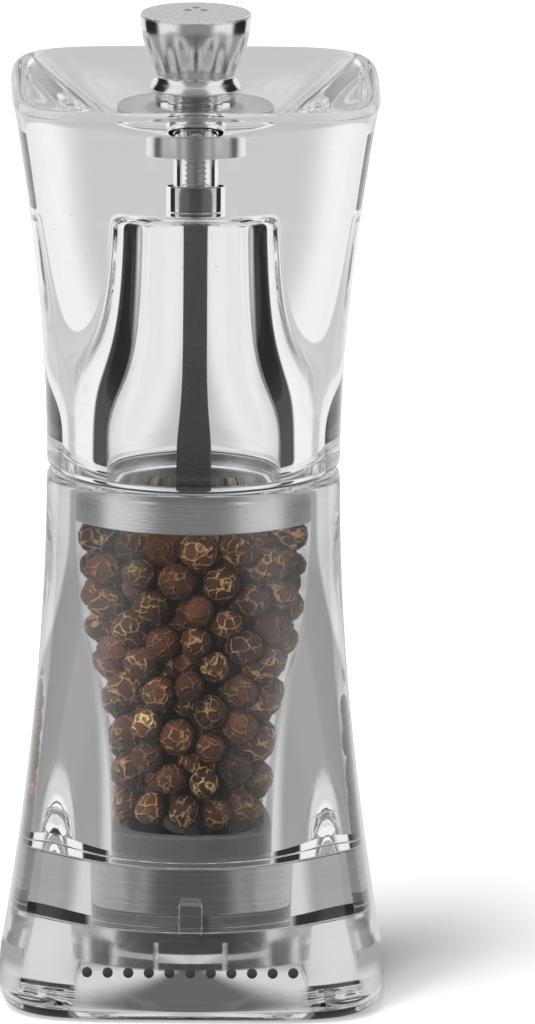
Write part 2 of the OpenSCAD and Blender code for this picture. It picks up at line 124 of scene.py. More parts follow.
def plan_grid(rows: np.ndarray, angles: np.ndarray) -> np.ndarray:
    """Carries a profile round the axis along superellipses.

    At angle t a ring of half-width a and exponent n has the radius
    a / (|cos t|^n + |sin t|^n)^(1/n), which is a circle where n is 2.

    Args:
        rows: Half-width, height and exponent of each ring.
        angles: Angles of the columns, in radians.

    Returns:
        Points as an array of rings by columns by 3.
    """
    half, height, power = (rows[:, k, None] for k in range(3))
    cos, sin = np.cos(angles)[None], np.sin(angles)[None]
    radius = half / (np.abs(cos) ** power + np.abs(sin) ** power) ** (1 / power)
    return np.stack([radius * cos, radius * sin, height + 0 * radius], -1)


def notched_grid(
    rows: np.ndarray, columns: int, bearings: tuple[float, ...], half: float, deep: np.ndarray, ratio: float
) -> np.ndarray:
    """Carries a profile round the axis and lets it step outwards in some places.

    Where a ring is deep and its angle lies within half a notch of a bearing, its radius is
    multiplied by the ratio.  Two columns stand just inside and just outside each side of a
    notch, so that its sides are steep.

    Args:
        rows: Half-width, height and exponent of each ring.
        columns: Number of even columns, before those at the notches' sides.
        bearings: Angle of each notch's middle, in degrees.
        half: Half of a notch's angle, in radians.
        deep: Which rings step outwards.
        ratio: Radius in a notch over the radius beside it.

    Returns:
        Points as an array of rings by columns by 3.
    """
    spots = np.radians(bearings)[:, None]
    beside = np.array([-half - 2e-4, -half + 2e-4, half - 2e-4, half + 2e-4])
    sides = (spots + beside).ravel() % (2 * np.pi)
    angles = np.sort(np.concatenate([round_angles(columns), sides]))
    grid = plan_grid(rows, angles)
    turn = np.abs((angles[None] - spots + np.pi) % (2 * np.pi) - np.pi).min(0)
    scale = np.where(deep[:, None] & (turn < half)[None], ratio, 1.0)
    grid[..., :2] *= scale[..., None]
    return grid


def quads_of(rings: int, columns: int, endless: bool) -> np.ndarray:
    """Corner numbers of a grid's faces, whose columns close on themselves.

    Args:
        rings: Number of rings.
        columns: Number of points in each ring.
        endless: Whether the last ring joins the first one.

    Returns:
        Four corner numbers for each face, anticlockwise from outside.
    """
    i, j = np.meshgrid(np.arange(rings if endless else rings - 1), np.arange(columns), indexing="ij")
    up, on = (i + 1) % rings, (j + 1) % columns
    faces = np.stack([i * columns + j, i * columns + on, up * columns + on, up * columns + j], -1)
    return faces.reshape(-1, 4)


def caps_of(rings: int, columns: int) -> np.ndarray:
    """Triangles that close a grid's first and last ring on a pole each.

    Args:
        rings: Number of rings.
        columns: Number of points in each ring.

    Returns:
        Three corner numbers for each face; the poles come after the grid's own points.
    """
    j = np.arange(columns)
    on = (j + 1) % columns
    last = (rings - 1) * columns
    low = np.stack([np.full(columns, rings * columns), on, j], -1)
    high = np.stack([np.full(columns, rings * columns + 1), last + j, last + on], -1)
    return np.concatenate([low, high])


@dataclass
class Skin:
    """Points in millimetres and the faces between them."""

    points: np.ndarray
    quads: np.ndarray
    triangles: np.ndarray = field(default_factory=lambda: np.zeros((0, 3), int))

    @classmethod
    def ring(cls, grid: np.ndarray) -> "Skin":
        """A closed skin whose last ring joins its first one."""
        return cls(grid.reshape(-1, 3), quads_of(grid.shape[0], grid.shape[1], True))

    @classmethod
    def plug(cls, grid: np.ndarray) -> "Skin":
        """A closed skin whose ends each close on a pole at the middle of the end ring."""
        poles = np.stack([grid[0].mean(0), grid[-1].mean(0)])
        points = np.concatenate([grid.reshape(-1, 3), poles])
        rings, columns = grid.shape[:2]
        return cls(points, quads_of(rings, columns, False), caps_of(rings, columns))

    def turned(self, degrees: float) -> "Skin":
        """The same skin turned about the axis of the mill."""
        a = math.radians(degrees)
        turn = np.array([[math.cos(a), math.sin(a), 0], [-math.sin(a), math.cos(a), 0], [0, 0, 1]])
        return Skin(self.points @ turn, self.quads, self.triangles)

    def joined(self, other: "Skin") -> "Skin":
        """This skin and another one as one set of points and faces."""
        n = len(self.points)
        return Skin(
            np.concatenate([self.points, other.points]),
            np.concatenate([self.quads, other.quads + n]),
            np.concatenate([self.triangles, other.triangles + n]),
        )

    def mesh(self, name: str, crease: float = 40.0) -> bpy.types.Mesh:
        """Makes a smooth-shaded mesh with sharp edges where faces meet steeply.

        Args:
            name: Name of the mesh.
            crease: Angle in degrees beyond which an edge is shaded sharp.

        Returns:
            The mesh, in metres.
        """
        mesh = bpy.data.meshes.new(name)
        corners = np.concatenate([self.quads.ravel(), self.triangles.ravel()])
        squares = len(self.quads)
        starts = np.concatenate(
            [np.arange(squares) * 4, squares * 4 + np.arange(len(self.triangles)) * 3]
        )
        mesh.vertices.add(len(self.points))
        mesh.vertices.foreach_set("co", (self.points * MM).astype(np.float32).ravel())
        mesh.loops.add(len(corners))
        mesh.loops.foreach_set("vertex_index", corners.astype(np.int32))
        mesh.polygons.add(len(starts))
        mesh.polygons.foreach_set("loop_start", starts.astype(np.int32))
        mesh.polygons.foreach_set("use_smooth", np.ones(len(starts), bool))
        mesh.update(calc_edges=True)
        mesh.set_sharp_from_angle(angle=math.radians(crease))
        return mesh


def lathe(rows: list[tuple[float, float, float]], columns: int = 144) -> Skin:
    """Turns a profile about the axis.

    Args:
        rows: Radius, height and fillet of each corner, anticlockwise with height upwards.
        columns: Number of columns round the axis.

    Returns:
        The closed skin.
    """
    table = np.array(rows, float)
    profile = soften(table[:, :2], table[:, 2])
    circles = np.column_stack([profile, np.full(len(profile), 2.0)])
    return Skin.ring(plan_grid(circles, round_angles(columns)))


def place(
    skin: Skin, name: str, body: Body, stands_for: tuple[str, ...], crease: float = 40.0
) -> bpy.types.Object:
    """Makes a skin into a piece that rides on a CAD body.

    Args:
        skin: The points and faces.
        name: Name of the piece.
        body: The CAD body it rides on.
        stands_for: CAD nodes that it replaces.
        crease: Angle beyond which its edges are shaded sharp.

    Returns:
        The piece.
    """
    piece = bpy.data.objects.new(name, skin.mesh(name, crease))
    bpy.context.scene.collection.objects.link(piece)
    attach(piece, body.value)
    if stands_for:
        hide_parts(*stands_for)
    return piece


# ---------------------------------------------------------------- shader parts


class Bench:
    """Lays nodes in one node tree and wires them."""

    def __init__(self, tree: bpy.types.NodeTree) -> None:
        """Starts from an empty tree."""
        self.tree = tree
        tree.nodes.clear()

    def put(self, kind: str, inputs: dict | None = None, **settings: object) -> bpy.types.Node:
        """Adds a node.

        Args:
            kind: Blender's name for the node type, without the ShaderNode prefix.
            inputs: Values or sockets for its inputs, by name or number.
            **settings: The node's own settings.

        Returns:
            The node.
        """
        node = self.tree.nodes.new(kind if kind.startswith("Node") else "ShaderNode" + kind)
        for key, value in settings.items():
            setattr(node, key, value)
        for key, value in (inputs or {}).items():
            if isinstance(value, bpy.types.NodeSocket):
                self.tree.links.new(value, node.inputs[key])
            else:
                node.inputs[key].default_value = value
        return node

    def maths(self, operation: str, a: object, b: object = 0.0) -> bpy.types.NodeSocket:
        """The result of a Math node."""
        return self.put("Math", {0: a, 1: b}, operation=operation).outputs[0]

    def ramp(
        self, value: object, low: float, high: float, to_low: float = 0.0, to_high: float = 1.0
    ) -> bpy.types.NodeSocket:
        """A smooth step of a value between two marks, scaled to a new range."""
        wires = {"Value": value, "From Min": low, "From Max": high, "To Min": to_low, "To Max": to_high}
        return self.put("MapRange", wires, interpolation_type="SMOOTHSTEP").outputs[0]

    def mix(self, share: object, a: object, b: object) -> bpy.types.NodeSocket:
        """Two colours mixed by a share."""
        return self.put("Mix", {0: share, 6: a, 7: b}, data_type="RGBA").outputs[2]

    def off_axis(self, part: object) -> bpy.types.NodeSocket:
        """Distance from the mill's axis: the root of x squared plus y squared."""
        x_squared = self.maths("POWER", part[0], 2.0)
        y_squared = self.maths("POWER", part[1], 2.0)
        return self.maths("SQRT", self.maths("ADD", x_squared, y_squared))

    def noise(
        self, vector: object, scale: float, detail: float = 3.0, rough: float = 0.55
    ) -> bpy.types.NodeSocket:
        """The value of a noise texture."""
        wires = {"Vector": vector, "Scale": scale, "Detail": detail, "Roughness": rough}
        return self.put("TexNoise", wires).outputs[0]


def group_sockets(
    tree: bpy.types.NodeTree, takes: dict[str, float], gives: tuple[str, ...]
) -> None:
    """Names a group's inputs and outputs.

    Args:
        tree: The node group.
        takes: Inputs and their usual values.
        gives: Outputs.
    """
    for name, usual in takes.items():
        socket = tree.interface.new_socket(name=name, in_out="INPUT", socket_type="NodeSocketFloat")
        socket.default_value = usual
    for name in gives:
        tree.interface.new_socket(name=name, in_out="OUTPUT", socket_type="NodeSocketFloat")


class Effects:
    """Node groups that several finishes share, each built once."""

    _made: dict[str, bpy.types.NodeTree] = {}

    @classmethod
    def _start(
        cls, name: str, takes: dict[str, float], gives: tuple[str, ...]
    ) -> tuple[Bench, bpy.types.Node, bpy.types.Node, bpy.types.NodeSocket]:
        """Opens a new group.

        Args:
            name: Name of the group.
            takes: Inputs and their usual values.
            gives: Outputs.

        Returns:
            The bench, the group's input and output nodes and the object coordinates.
        """
        tree = bpy.data.node_groups.new(name, "ShaderNodeTree")
        group_sockets(tree, takes, gives)
        bench = Bench(tree)
        entry, out = bench.put("NodeGroupInput"), bench.put("NodeGroupOutput")
        cls._made[name] = tree
        return bench, entry, out, bench.put("TexCoord").outputs["Object"]

    @classmethod
    def turned_lines(cls) -> bpy.types.NodeTree:
        """Fine lines round the axis, as a lathe or brush leaves them: noise of radius and height."""
        if "turned_lines" in cls._made:
            return cls._made["turned_lines"]
        bench, entry, out, place_ = cls._start("turned_lines", {"Lines per metre": 9000.0}, ("Lines",))
        part = bench.put("SeparateXYZ", {0: place_}).outputs
        radius = bench.off_axis(part)
        flat = bench.put("CombineXYZ", {0: radius, 1: part[2], 2: 0.0}).outputs[0]
        fine = bench.put("TexNoise", {"Vector": flat, "Scale": entry.outputs[0], "Detail": 2.0})
        bench.tree.links.new(fine.outputs[0], out.inputs["Lines"])
        return bench.tree

    @classmethod
    def moulded_grain(cls) -> bpy.types.NodeTree:
        """The fine pebbled grain and slow unevenness of a moulded or cast face."""
        if "moulded_grain" in cls._made:
            return cls._made["moulded_grain"]
        takes = {"Grain per metre": 2600.0}
        bench, entry, out, place_ = cls._start("moulded_grain", takes, ("Grain", "Drift"))
        fine = bench.put("TexNoise", {"Vector": place_, "Scale": entry.outputs[0], "Detail": 4.0})
        bench.tree.links.new(bench.ramp(fine.outputs[0], 0.35, 0.68), out.inputs["Grain"])
        bench.tree.links.new(bench.noise(place_, 70.0, 3.0), out.inputs["Drift"])
        return bench.tree

    @classmethod
    def handling_marks(cls) -> bpy.types.NodeTree:
        """Faint smears, dust specks and a slow swell of the surface of a thing that is used daily."""
        if "handling_marks" in cls._made:
            return cls._made["handling_marks"]
        gives = ("Smears", "Specks", "Swell")
        bench, entry, out, place_ = cls._start("handling_marks", {"Amount": 1.0}, gives)
        smear = bench.ramp(bench.noise(place_, 55.0, 4.0, 0.6), 0.52, 0.74)
        speck = bench.put("TexVoronoi", {"Vector": place_, "Scale": 520.0}).outputs["Distance"]
        sparse = bench.ramp(bench.noise(place_, 260.0, 1.0), 0.60, 0.66)
        dot = bench.maths("MULTIPLY", bench.ramp(speck, 0.16, 0.07), sparse)
        bench.tree.links.new(bench.maths("MULTIPLY", smear, entry.outputs[0]), out.inputs["Smears"])
        bench.tree.links.new(bench.maths("MULTIPLY", dot, entry.outputs[0]), out.inputs["Specks"])
        bench.tree.links.new(bench.noise(place_, 42.0, 1.5, 0.4), out.inputs["Swell"])
        return bench.tree

    @classmethod
    def dried_skin(cls) -> bpy.types.NodeTree:
        """The net of ridges on a dried corn: distance to the borders of warped cells."""
        if "dried_skin" in cls._made:
            return cls._made["dried_skin"]
        gives = ("Ridge", "Relief", "Mottle")
        bench, entry, out, place_ = cls._start("dried_skin", {"Cells per metre": 620.0}, gives)
        warp = bench.put("TexNoise", {"Vector": place_, "Scale": 520.0, "Detail": 3.0}).outputs["Color"]
        bend_by = (0.0019, 0.0019, 0.0019)
        shift = bench.put("VectorMath", {0: warp, 1: bend_by}, operation="MULTIPLY").outputs[0]
        bent = bench.put("VectorMath", {0: place_, 1: shift}, operation="ADD").outputs[0]
        cells = bench.put(
            "TexVoronoi", {"Vector": bent, "Scale": entry.outputs[0]}, feature="DISTANCE_TO_EDGE"
        ).outputs["Distance"]
        broken = bench.ramp(bench.noise(place_, 760.0, 2.0), 0.33, 0.56)
        ridge = bench.maths("MULTIPLY", bench.ramp(cells, 0.15, 0.01), broken)
        rough = bench.noise(place_, 2400.0, 3.0)
        relief = bench.maths("ADD", ridge, bench.maths("MULTIPLY", rough, 0.35))
        bench.tree.links.new(ridge, out.inputs["Ridge"])
        bench.tree.links.new(relief, out.inputs["Relief"])
        bench.tree.links.new(bench.noise(place_, 330.0, 3.0), out.inputs["Mottle"])
        return bench.tree


def effect(bench: Bench, tree: bpy.types.NodeTree, **values: float) -> bpy.types.Node:
    """Places a shared effect in a material with its own values."""
    node = bench.put("Group", node_tree=tree)
    for name, value in values.items():
        node.inputs[name.replace("_", " ")].default_value = value
    return node


@dataclass(frozen=True)
class Finish:
    """The plain numbers of a finish; each kind adds its own nodes."""

    name: str
    colour: tuple[float, float, float] = (0.5, 0.5, 0.5)
    roughness: float = 0.4
    metallic: float = 0.0
    coat: float = 0.0

    def material(self) -> bpy.types.Material:
        """The finish as a material, made the first time it is asked for."""
        made = bpy.data.materials.get(self.name)
        if made is None:
            made = bpy.data.materials.new(self.name)
            made.use_nodes = True
            made.diffuse_color = (*self.colour, 1.0)
            bench = Bench(made.node_tree)
            shader = bench.put("BsdfPrincipled", {"Metallic": self.metallic, "Coat Weight": self.coat})
            shell = self.lay(bench, shader)
            bench.put("OutputMaterial", {"Surface": shell})
        return made

    def lay(self, bench: Bench, shader: bpy.types.Node) -> bpy.types.NodeSocket:
        """Wires the finish's own nodes.

        Args:
            bench: The bench of the material's tree.
            shader: Its Principled shader.

        Returns:
            The socket that goes to the material output.
        """
        raise NotImplementedError

    def tint(self, by: float) -> tuple[float, float, float, float]:
        """The finish's colour, lighter or darker, with full alpha."""
        return (*(min(1.0, c * by) for c in self.colour), 1.0)


@dataclass(frozen=True)
class Bore:
    """A bore that is rougher than the polished walls, in millimetres."""

    radius: float
    low: float
    high: float
    edge: float = 0.1
    rougher: float = 0.3


@dataclass(frozen=True)
class Clear(Finish):
    """Clear polished acrylic or moulded clear plastic."""

    swell: float = 0.05
    smear: float = 0.05
    ior: float = 1.49
    shade: float = 0.88
    bored: Bore | None = None

    def bore_roughness(self, bench: Bench, bore: Bore) -> bpy.types.NodeSocket:
        """What the bore adds to the roughness, by smooth steps of radius and of height.

        Args:
            bench: The bench of the material's tree.
            bore: The bore.

        Returns:
            The added roughness.
        """
        part = bench.put("SeparateXYZ", {0: bench.put("TexCoord").outputs["Object"]}).outputs
        across = bench.off_axis(part)
        inside = bench.ramp(across, (bore.radius + bore.edge) * MM, (bore.radius - bore.edge) * MM)
        above = bench.ramp(part[2], bore.low * MM, bore.high * MM)
        return bench.maths("MULTIPLY", bench.maths("MULTIPLY", inside, above), bore.rougher)

    def lay(self, bench: Bench, shader: bpy.types.Node) -> bpy.types.NodeSocket:
        """Clear plastic with faint smears, and light that passes through it to what is behind.

        Args:
            bench: The bench of the material's tree.
            shader: Its Principled shader.

        Returns:
            The mixed shader.
        """
        marks = effect(bench, Effects.handling_marks())
        shader.inputs["Transmission Weight"].default_value = 1.0
        shader.inputs["IOR"].default_value = self.ior
        dusty = bench.mix(marks.outputs["Specks"], self.tint(1.0), self.tint(0.8))
        bench.tree.links.new(dusty, shader.inputs["Base Color"])
        veil = bench.maths("MULTIPLY", marks.outputs["Smears"], self.smear)
        rough = bench.maths("ADD", veil, self.roughness)
        if self.bored:
            rough = bench.maths("ADD", rough, self.bore_roughness(bench, self.bored))
        bench.tree.links.new(rough, shader.inputs["Roughness"])
        swell = marks.outputs["Swell"]
        wave = bench.put("Bump", {"Strength": self.swell, "Distance": 0.002, "Height": swell})
        bench.tree.links.new(wave.outputs[0], shader.inputs["Normal"])
        lets = bench.put("BsdfTransparent", {"Color": (self.shade, self.shade, self.shade, 1.0)})
        ray = bench.put("LightPath").outputs["Is Shadow Ray"]
        return bench.put("MixShader", {0: ray, 1: shader.outputs[0], 2: lets.outputs[0]}).outputs[0]


@dataclass(frozen=True)
class TurnedMetal(Finish):
    """Metal with the fine lines of turning or brushing round the axis."""

    lines: float = 9000.0
    relief: float = 0.25
    contrast: float = 0.25
    polished_band: tuple[float, float] | None = None
    mirror: float = 0.14
    blast: float = 3400.0

    def lay(self, bench: Bench, shader: bpy.types.Node) -> bpy.types.NodeSocket:
        """Lines round the axis in colour, roughness and relief, with faint smears.

        Args:
            bench: The bench of the material's tree.
            shader: Its Principled shader.

        Returns:
            The Principled shader's output.
        """
        turned = effect(bench, Effects.turned_lines(), Lines_per_metre=self.lines)
        marks = effect(bench, Effects.handling_marks())
        lines, smears = turned.outputs["Lines"], marks.outputs["Smears"]
        colour = bench.mix(lines, self.tint(1 - self.contrast), self.tint(1 + self.contrast))
        colour = bench.mix(bench.maths("MULTIPLY", smears, 0.25), colour, self.tint(0.7))
        rough = bench.maths("ADD", bench.maths("MULTIPLY", lines, 0.12), self.roughness - 0.05)
        rough = bench.maths("ADD", rough, bench.maths("MULTIPLY", smears, 0.1))
        if self.polished_band:
            height = bench.put("SeparateXYZ", {0: bench.put("TexCoord").outputs["Object"]}).outputs[2]
            satin = bench.ramp(height, self.polished_band[0] * MM, self.polished_band[1] * MM)
            rough = bench.put("Mix", {0: satin, 2: self.mirror, 3: rough}, data_type="FLOAT").outputs[0]
            grain = effect(bench, Effects.moulded_grain(), Grain_per_metre=self.blast).outputs["Grain"]
            blasted = bench.maths("MULTIPLY", grain, satin)
            colour = bench.mix(bench.maths("MULTIPLY", blasted, 0.6), colour, self.tint(0.62))
            lines = bench.maths("ADD", bench.maths("MULTIPLY", lines, satin), blasted)
        bench.tree.links.new(colour, shader.inputs["Base Color"])
        bench.tree.links.new(rough, shader.inputs["Roughness"])
        bump = bench.put("Bump", {"Strength": self.relief, "Distance": 0.0001, "Height": lines})
        bench.tree.links.new(bump.outputs[0], shader.inputs["Normal"])
        return shader.outputs[0]


@dataclass(frozen=True)
class Moulded(Finish):
    """Moulded plastic, nylon, enamel, drawn or hardened steel with a fine grain."""

    grain: float = 2600.0
    relief: float = 0.2
    contrast: float = 0.3
    bright_above: float | None = None
    bright_run: float = 0.3
    bright_by: float = 3.6

    def lay(self, bench: Bench, shader: bpy.types.Node) -> bpy.types.NodeSocket:
        """A fine grain in relief, with slow drift of tone and gloss.

        Args:
            bench: The bench of the material's tree.
            shader: Its Principled shader.

        Returns:
            The Principled shader's output.
        """
        face = effect(bench, Effects.moulded_grain(), Grain_per_metre=self.grain)
        drift, grain = face.outputs["Drift"], face.outputs["Grain"]
        tone = bench.mix(drift, self.tint(1 - self.contrast), self.tint(1 + self.contrast))
        tone = bench.mix(bench.maths("MULTIPLY", grain, 0.35), tone, self.tint(0.75))
        if self.bright_above:
            height = bench.put("SeparateXYZ", {0: bench.put("TexCoord").outputs["Object"]}).outputs[2]
            share = bench.ramp(height, self.bright_above * MM, (self.bright_above + self.bright_run) * MM)
            tone = bench.mix(share, tone, self.tint(self.bright_by))
        bench.tree.links.new(tone, shader.inputs["Base Color"])
        rough = bench.maths("ADD", bench.maths("MULTIPLY", drift, 0.25), self.roughness - 0.12)
        bench.tree.links.new(rough, shader.inputs["Roughness"])
        bump = bench.put("Bump", {"Strength": self.relief, "Distance": 0.00015, "Height": grain})
        bench.tree.links.new(bump.outputs[0], shader.inputs["Normal"])
        return shader.outputs[0]


@dataclass(frozen=True)
class DriedSkin(Finish):
    """The wrinkled skin of dried peppercorns, each corn with its own tone and a partly painted highlight on
    its ridges.
    """

    # Ridge colours: partly the tan of the dried skin, partly a painted highlight on the crests.
    ridge: tuple[float, float, float] = (1.0, 0.66, 0.3)
    red: tuple[float, float, float] = (0.2, 0.066, 0.03)
    dull_ridge_and_highlight: tuple[float, float, float] = (0.42, 0.19, 0.1)
    mottle: float = 3.4
    gloss: float = 0.22
    cells: float = 620.0

    def lay(self, bench: Bench, shader: bpy.types.Node) -> bpy.types.NodeSocket:
        """Dark hollows and lighter ridges, shifted towards red or tan by each corn's tone; the ridge colour
        is partly the skin's tan and partly a painted highlight.

        Args:
            bench: The bench of the material's tree.
            shader: Its Principled shader.

        Returns:
            The Principled shader's output.
        """
        shader.inputs["Specular IOR Level"].default_value = self.gloss
        skin = effect(bench, Effects.dried_skin(), Cells_per_metre=self.cells)
        tone = bench.put("Attribute", attribute_name="corn_tone").outputs["Color"]
        part = bench.put("SeparateColor", {0: tone}).outputs
        hollow = bench.mix(part[0], self.tint(1.0), (*self.red, 1.0))
        hollow = bench.mix(bench.ramp(skin.outputs["Mottle"], 0.4, 0.75), hollow, self.tint(self.mottle))
        # Crest colour, partly tan skin and partly a painted highlight, laid on the ridges by the share below.
        crest = bench.mix(part[1], (*self.ridge, 1.0), (*self.dull_ridge_and_highlight, 1.0))
        share = bench.maths("MULTIPLY", skin.outputs["Ridge"], bench.ramp(part[2], 0.0, 1.0, 0.25, 0.95))
        colour = bench.mix(share, hollow, crest)
        bench.tree.links.new(colour, shader.inputs["Base Color"])
        rough = bench.ramp(skin.outputs["Mottle"], 0.3, 0.7, self.roughness - 0.12, self.roughness + 0.15)
        bench.tree.links.new(rough, shader.inputs["Roughness"])
        bump = bench.put("Bump", {"Strength": 0.9, "Distance": 0.0005, "Height": skin.outputs["Relief"]})
        bench.tree.links.new(bump.outputs[0], shader.inputs["Normal"])
        return shader.outputs[0]


ACRYLIC = Clear(
    "polished_acrylic", (0.94, 0.945, 0.95), 0.0,
    swell=0.04, smear=0.05, shade=0.68, bored=Bore(6.6, 107.0, 109.5),
)
CLEAR_PLASTIC = Clear("moulded_clear", (0.88, 0.885, 0.89), 0.03, swell=0.05, smear=0.1, ior=1.5, shade=0.8)
FROSTED = Clear("moulded_frosted", (0.97, 0.97, 0.97), 0.34, swell=0.05, smear=0.1, ior=1.5, shade=0.8)
RING_PLASTIC = Clear("moulded_ring", (0.96, 0.96, 0.96), 0.13, swell=0.05, smear=0.1, ior=1.5, shade=0.8)
BAND_STEEL = TurnedMetal(
    "brushed_band_steel", (0.58, 0.58, 0.57), 0.2, 1.0, lines=2600.0, relief=0.35, contrast=0.3
)
SATIN_STEEL = TurnedMetal("brushed_satin_steel", (0.86, 0.86, 0.85), 0.27, 1.0, lines=7000.0, contrast=0.16)
BRIGHT_STEEL = TurnedMetal("zinc_bright_steel", (0.6, 0.6, 0.6), 0.24, 1.0, lines=5000.0, contrast=0.12)
SPINDLE_STEEL = Moulded(
    "drawn_dark_steel", (0.17, 0.17, 0.175), 0.42, 1.0,
    grain=3600.0, relief=0.25, contrast=0.22, bright_above=105.1,
)
BRASS = TurnedMetal("turned_brass", (0.68, 0.48, 0.2), 0.28, 1.0, lines=6000.0, contrast=0.12)
CHROME = TurnedMetal(
    "knob_chrome", (0.78, 0.78, 0.79), 0.34, 1.0,
    lines=5200.0, relief=0.3, contrast=0.16, polished_band=(124.55, 125.05),
)
BURR_STEEL = Moulded("hardened_burr", (0.12, 0.12, 0.125), 0.5, 1.0, grain=2400.0, relief=0.45)
DARK_PLASTIC = Moulded("moulded_dark_plastic", (0.15, 0.15, 0.155), 0.5, grain=3000.0, relief=0.2)
DARK_NYLON = Moulded("black_nylon", (0.05, 0.05, 0.055), 0.45, grain=3000.0, relief=0.15)
PALE_NYLON = Moulded("natural_nylon", (0.62, 0.59, 0.52), 0.5, grain=3000.0, relief=0.15, contrast=0.12)
MARK_ENAMEL = Moulded("black_enamel", (0.03, 0.03, 0.032), 0.3, coat=0.4, grain=4000.0, relief=0.08)
PRINT_INK = Moulded("print_ink", (0.02, 0.02, 0.022), 0.4, grain=5000.0, relief=0.1)
PEPPERCORN = DriedSkin("dried_corn_skin", (0.024, 0.012, 0.008), 0.4)


def dress(piece: bpy.types.Object, finish: Finish) -> bpy.types.Object:
    """Gives a piece its finish and reports it."""
    piece.data.materials.clear()
    piece.data.materials.append(finish.material())
    LOG.info("%s: %d faces, %s", piece.name, len(piece.data.polygons), finish.name)
    return piece


# ---------------------------------------------------------------- the mill's parts


def step(value: np.ndarray) -> np.ndarray:
    """Smooth step of an array between 0 and 1."""
    c = np.clip(value, 0.0, 1.0)
    return c * c * (3 - 2 * c)


@dataclass
class Outline:
    """The waisted outline that both acrylic shells share."""

    waist_half: float = 18.55
    flare_power: float = 1.9
    square_power: float = 5.0
    round_share: float = 0.1
    square_share: float = 0.7

    def rows(self, flare: float, share: np.ndarray, height: np.ndarray, inset: object = 0.0) -> np.ndarray:
        """Rings of the outline.

        The half-width is the waist's plus flare times share to the flare power, and the
        plan's exponent goes from 2 to the square one by a smooth step of the share.

        Args:
            flare: How far the end stands out beyond the waist.
            share: Share of the height away from the waist, 0 to 1.
            height: Height of each ring.
            inset: How much each ring's half-width is reduced by a rounded edge.

        Returns:
            Half-width, height and exponent of each ring.
        """
        half = self.waist_half + flare * np.clip(share, 0, 1) ** self.flare_power - inset
        blend = step((share - self.round_share) / (self.square_share - self.round_share))
        power = 2 + (self.square_power - 2) * blend
        return np.column_stack([half, height, power])


def plain(rows: list[tuple[float, float, float]]) -> tuple[np.ndarray, np.ndarray]:
    """Round rings and their fillets, from radius, height and fillet triples."""
    table = np.array(rows, float)
    return np.column_stack([table[:, :2], np.full(len(table), 2.0)]), table[:, 2]


@dataclass
class LowerBody:
    """The clear body with its chamber, socket and the recess in its foot."""

    outline: Outline = field(default_factory=Outline)
    foot_flare: float = 6.2
    foot_edge: float = 2.6
    waist_edge: float = 0.9
    chamber_r: float = 15.0
    socket_r: float = 18.3
    socket_z: float = 18.8
    recess_r: float = 21.0
    recess_z: float = 11.0
    slot_r: float = 19.9
    slot_z: float = 14.4
    slot_w: float = 3.0
    columns: int = 240
    mark_span: float = 13.0
    mark_z: float = 6.4
    mark_dots: int = 11

    def outer_rows(self, top: float) -> np.ndarray:
        """Rings from the foot's underside to the waist.

        Args:
            top: Height of the body.

        Returns:
            Half-width, height and exponent of each ring.
        """
        arc = np.radians(np.linspace(0, 82, 9))
        low = self.foot_edge * (1 - np.cos(arc))
        foot = self.outline.rows(self.foot_flare, 1 - low / top, low, self.foot_edge * (1 - np.sin(arc)))
        height = np.linspace(self.foot_edge, top - self.waist_edge, 56)
        wall = self.outline.rows(self.foot_flare, 1 - height / top, height)
        arc = np.radians(np.linspace(15, 90, 6))
        high = top - self.waist_edge + self.waist_edge * np.sin(arc)
        edge = self.outline.rows(0.0, np.zeros(6), high, self.waist_edge * (1 - np.cos(arc)))
        return np.concatenate([foot, wall, edge])

    def skin(self) -> Skin:
        """The closed shell: outside going up, chamber, socket and recess going down.

        In the stretch of the slots the socket's radius is a function of the angle too,
        and steps out to the slot's depth within half a slot's width of each key.

        Returns:
            The skin.
        """
        top = high_z("lower_body")
        r, c, f = self.chamber_r, self.socket_r, 0.25
        inner, fillets = plain(
            [
                (r, top, f), (r, self.socket_z, 0.15), (c, self.socket_z, f),
                (c, self.slot_z, 0.0), (c, self.slot_z - 0.01, 0.0), (c, self.recess_z + 0.02, 0.0),
                (c, self.recess_z, 0.0), (self.recess_r, self.recess_z, f), (self.recess_r, 0.0, 0.4),
            ]
        )
        outer = self.outer_rows(top)
        rows = soften(np.concatenate([outer, inner]), np.concatenate([np.zeros(len(outer)), fillets]))
        half = math.asin(self.slot_w / 2 / self.slot_r)
        deep = (rows[:, 0] == c) & (rows[:, 1] < self.slot_z - 0.005) & (rows[:, 1] > self.recess_z - 0.005)
        return Skin.ring(notched_grid(rows, self.columns, KEY_BEARINGS, half, deep, self.slot_r / c))

    def print_skin(self) -> Skin:
        """A plain row of printed dots on the foot's front, each a thin round pad.

        A dot is a disc of three rings on the front of the plan curve: its points take
        their depth from the outline at their own height and place across.

        Returns:
            The skin of all the dots.
        """
        top = high_z("lower_body")
        across = np.linspace(-self.mark_span, self.mark_span, self.mark_dots)
        turn = round_angles(20)
        ring = np.array([0.0, 0.34, 0.62, 0.66, 0.62, 0.0])
        lift = np.array([-0.03, -0.03, -0.03, 0.0, 0.03, 0.03])
        x = across[:, None, None] + ring[None, :, None] * np.cos(turn)
        z = self.mark_z + ring[None, :, None] * np.sin(turn) + 0 * x
        share = 1 - z / top
        half = self.outline.waist_half + self.foot_flare * share**self.outline.flare_power
        n = self.outline.square_power
        y = -((half**n - np.abs(x) ** n) ** (1 / n)) - lift[None, :, None]
        grid = np.stack([x, y - 0.015, z], -1)
        whole = Skin(np.zeros((0, 3)), np.zeros((0, 4), int))
        for dot in grid:
            whole = whole.joined(Skin.plug(dot[1:-1]))
        return whole

    def build(self) -> list[bpy.types.Object]:
        """Builds and dresses the body.

        Returns:
            Its pieces.
        """
        shell = place(self.skin(), "clear_lower_body", Body.BASE, ("lower_body",), 50.0)
        dots = place(self.print_skin(), "foot_print_dots", Body.BASE, ())
        return [dress(shell, ACRYLIC), dress(dots, PRINT_INK)]


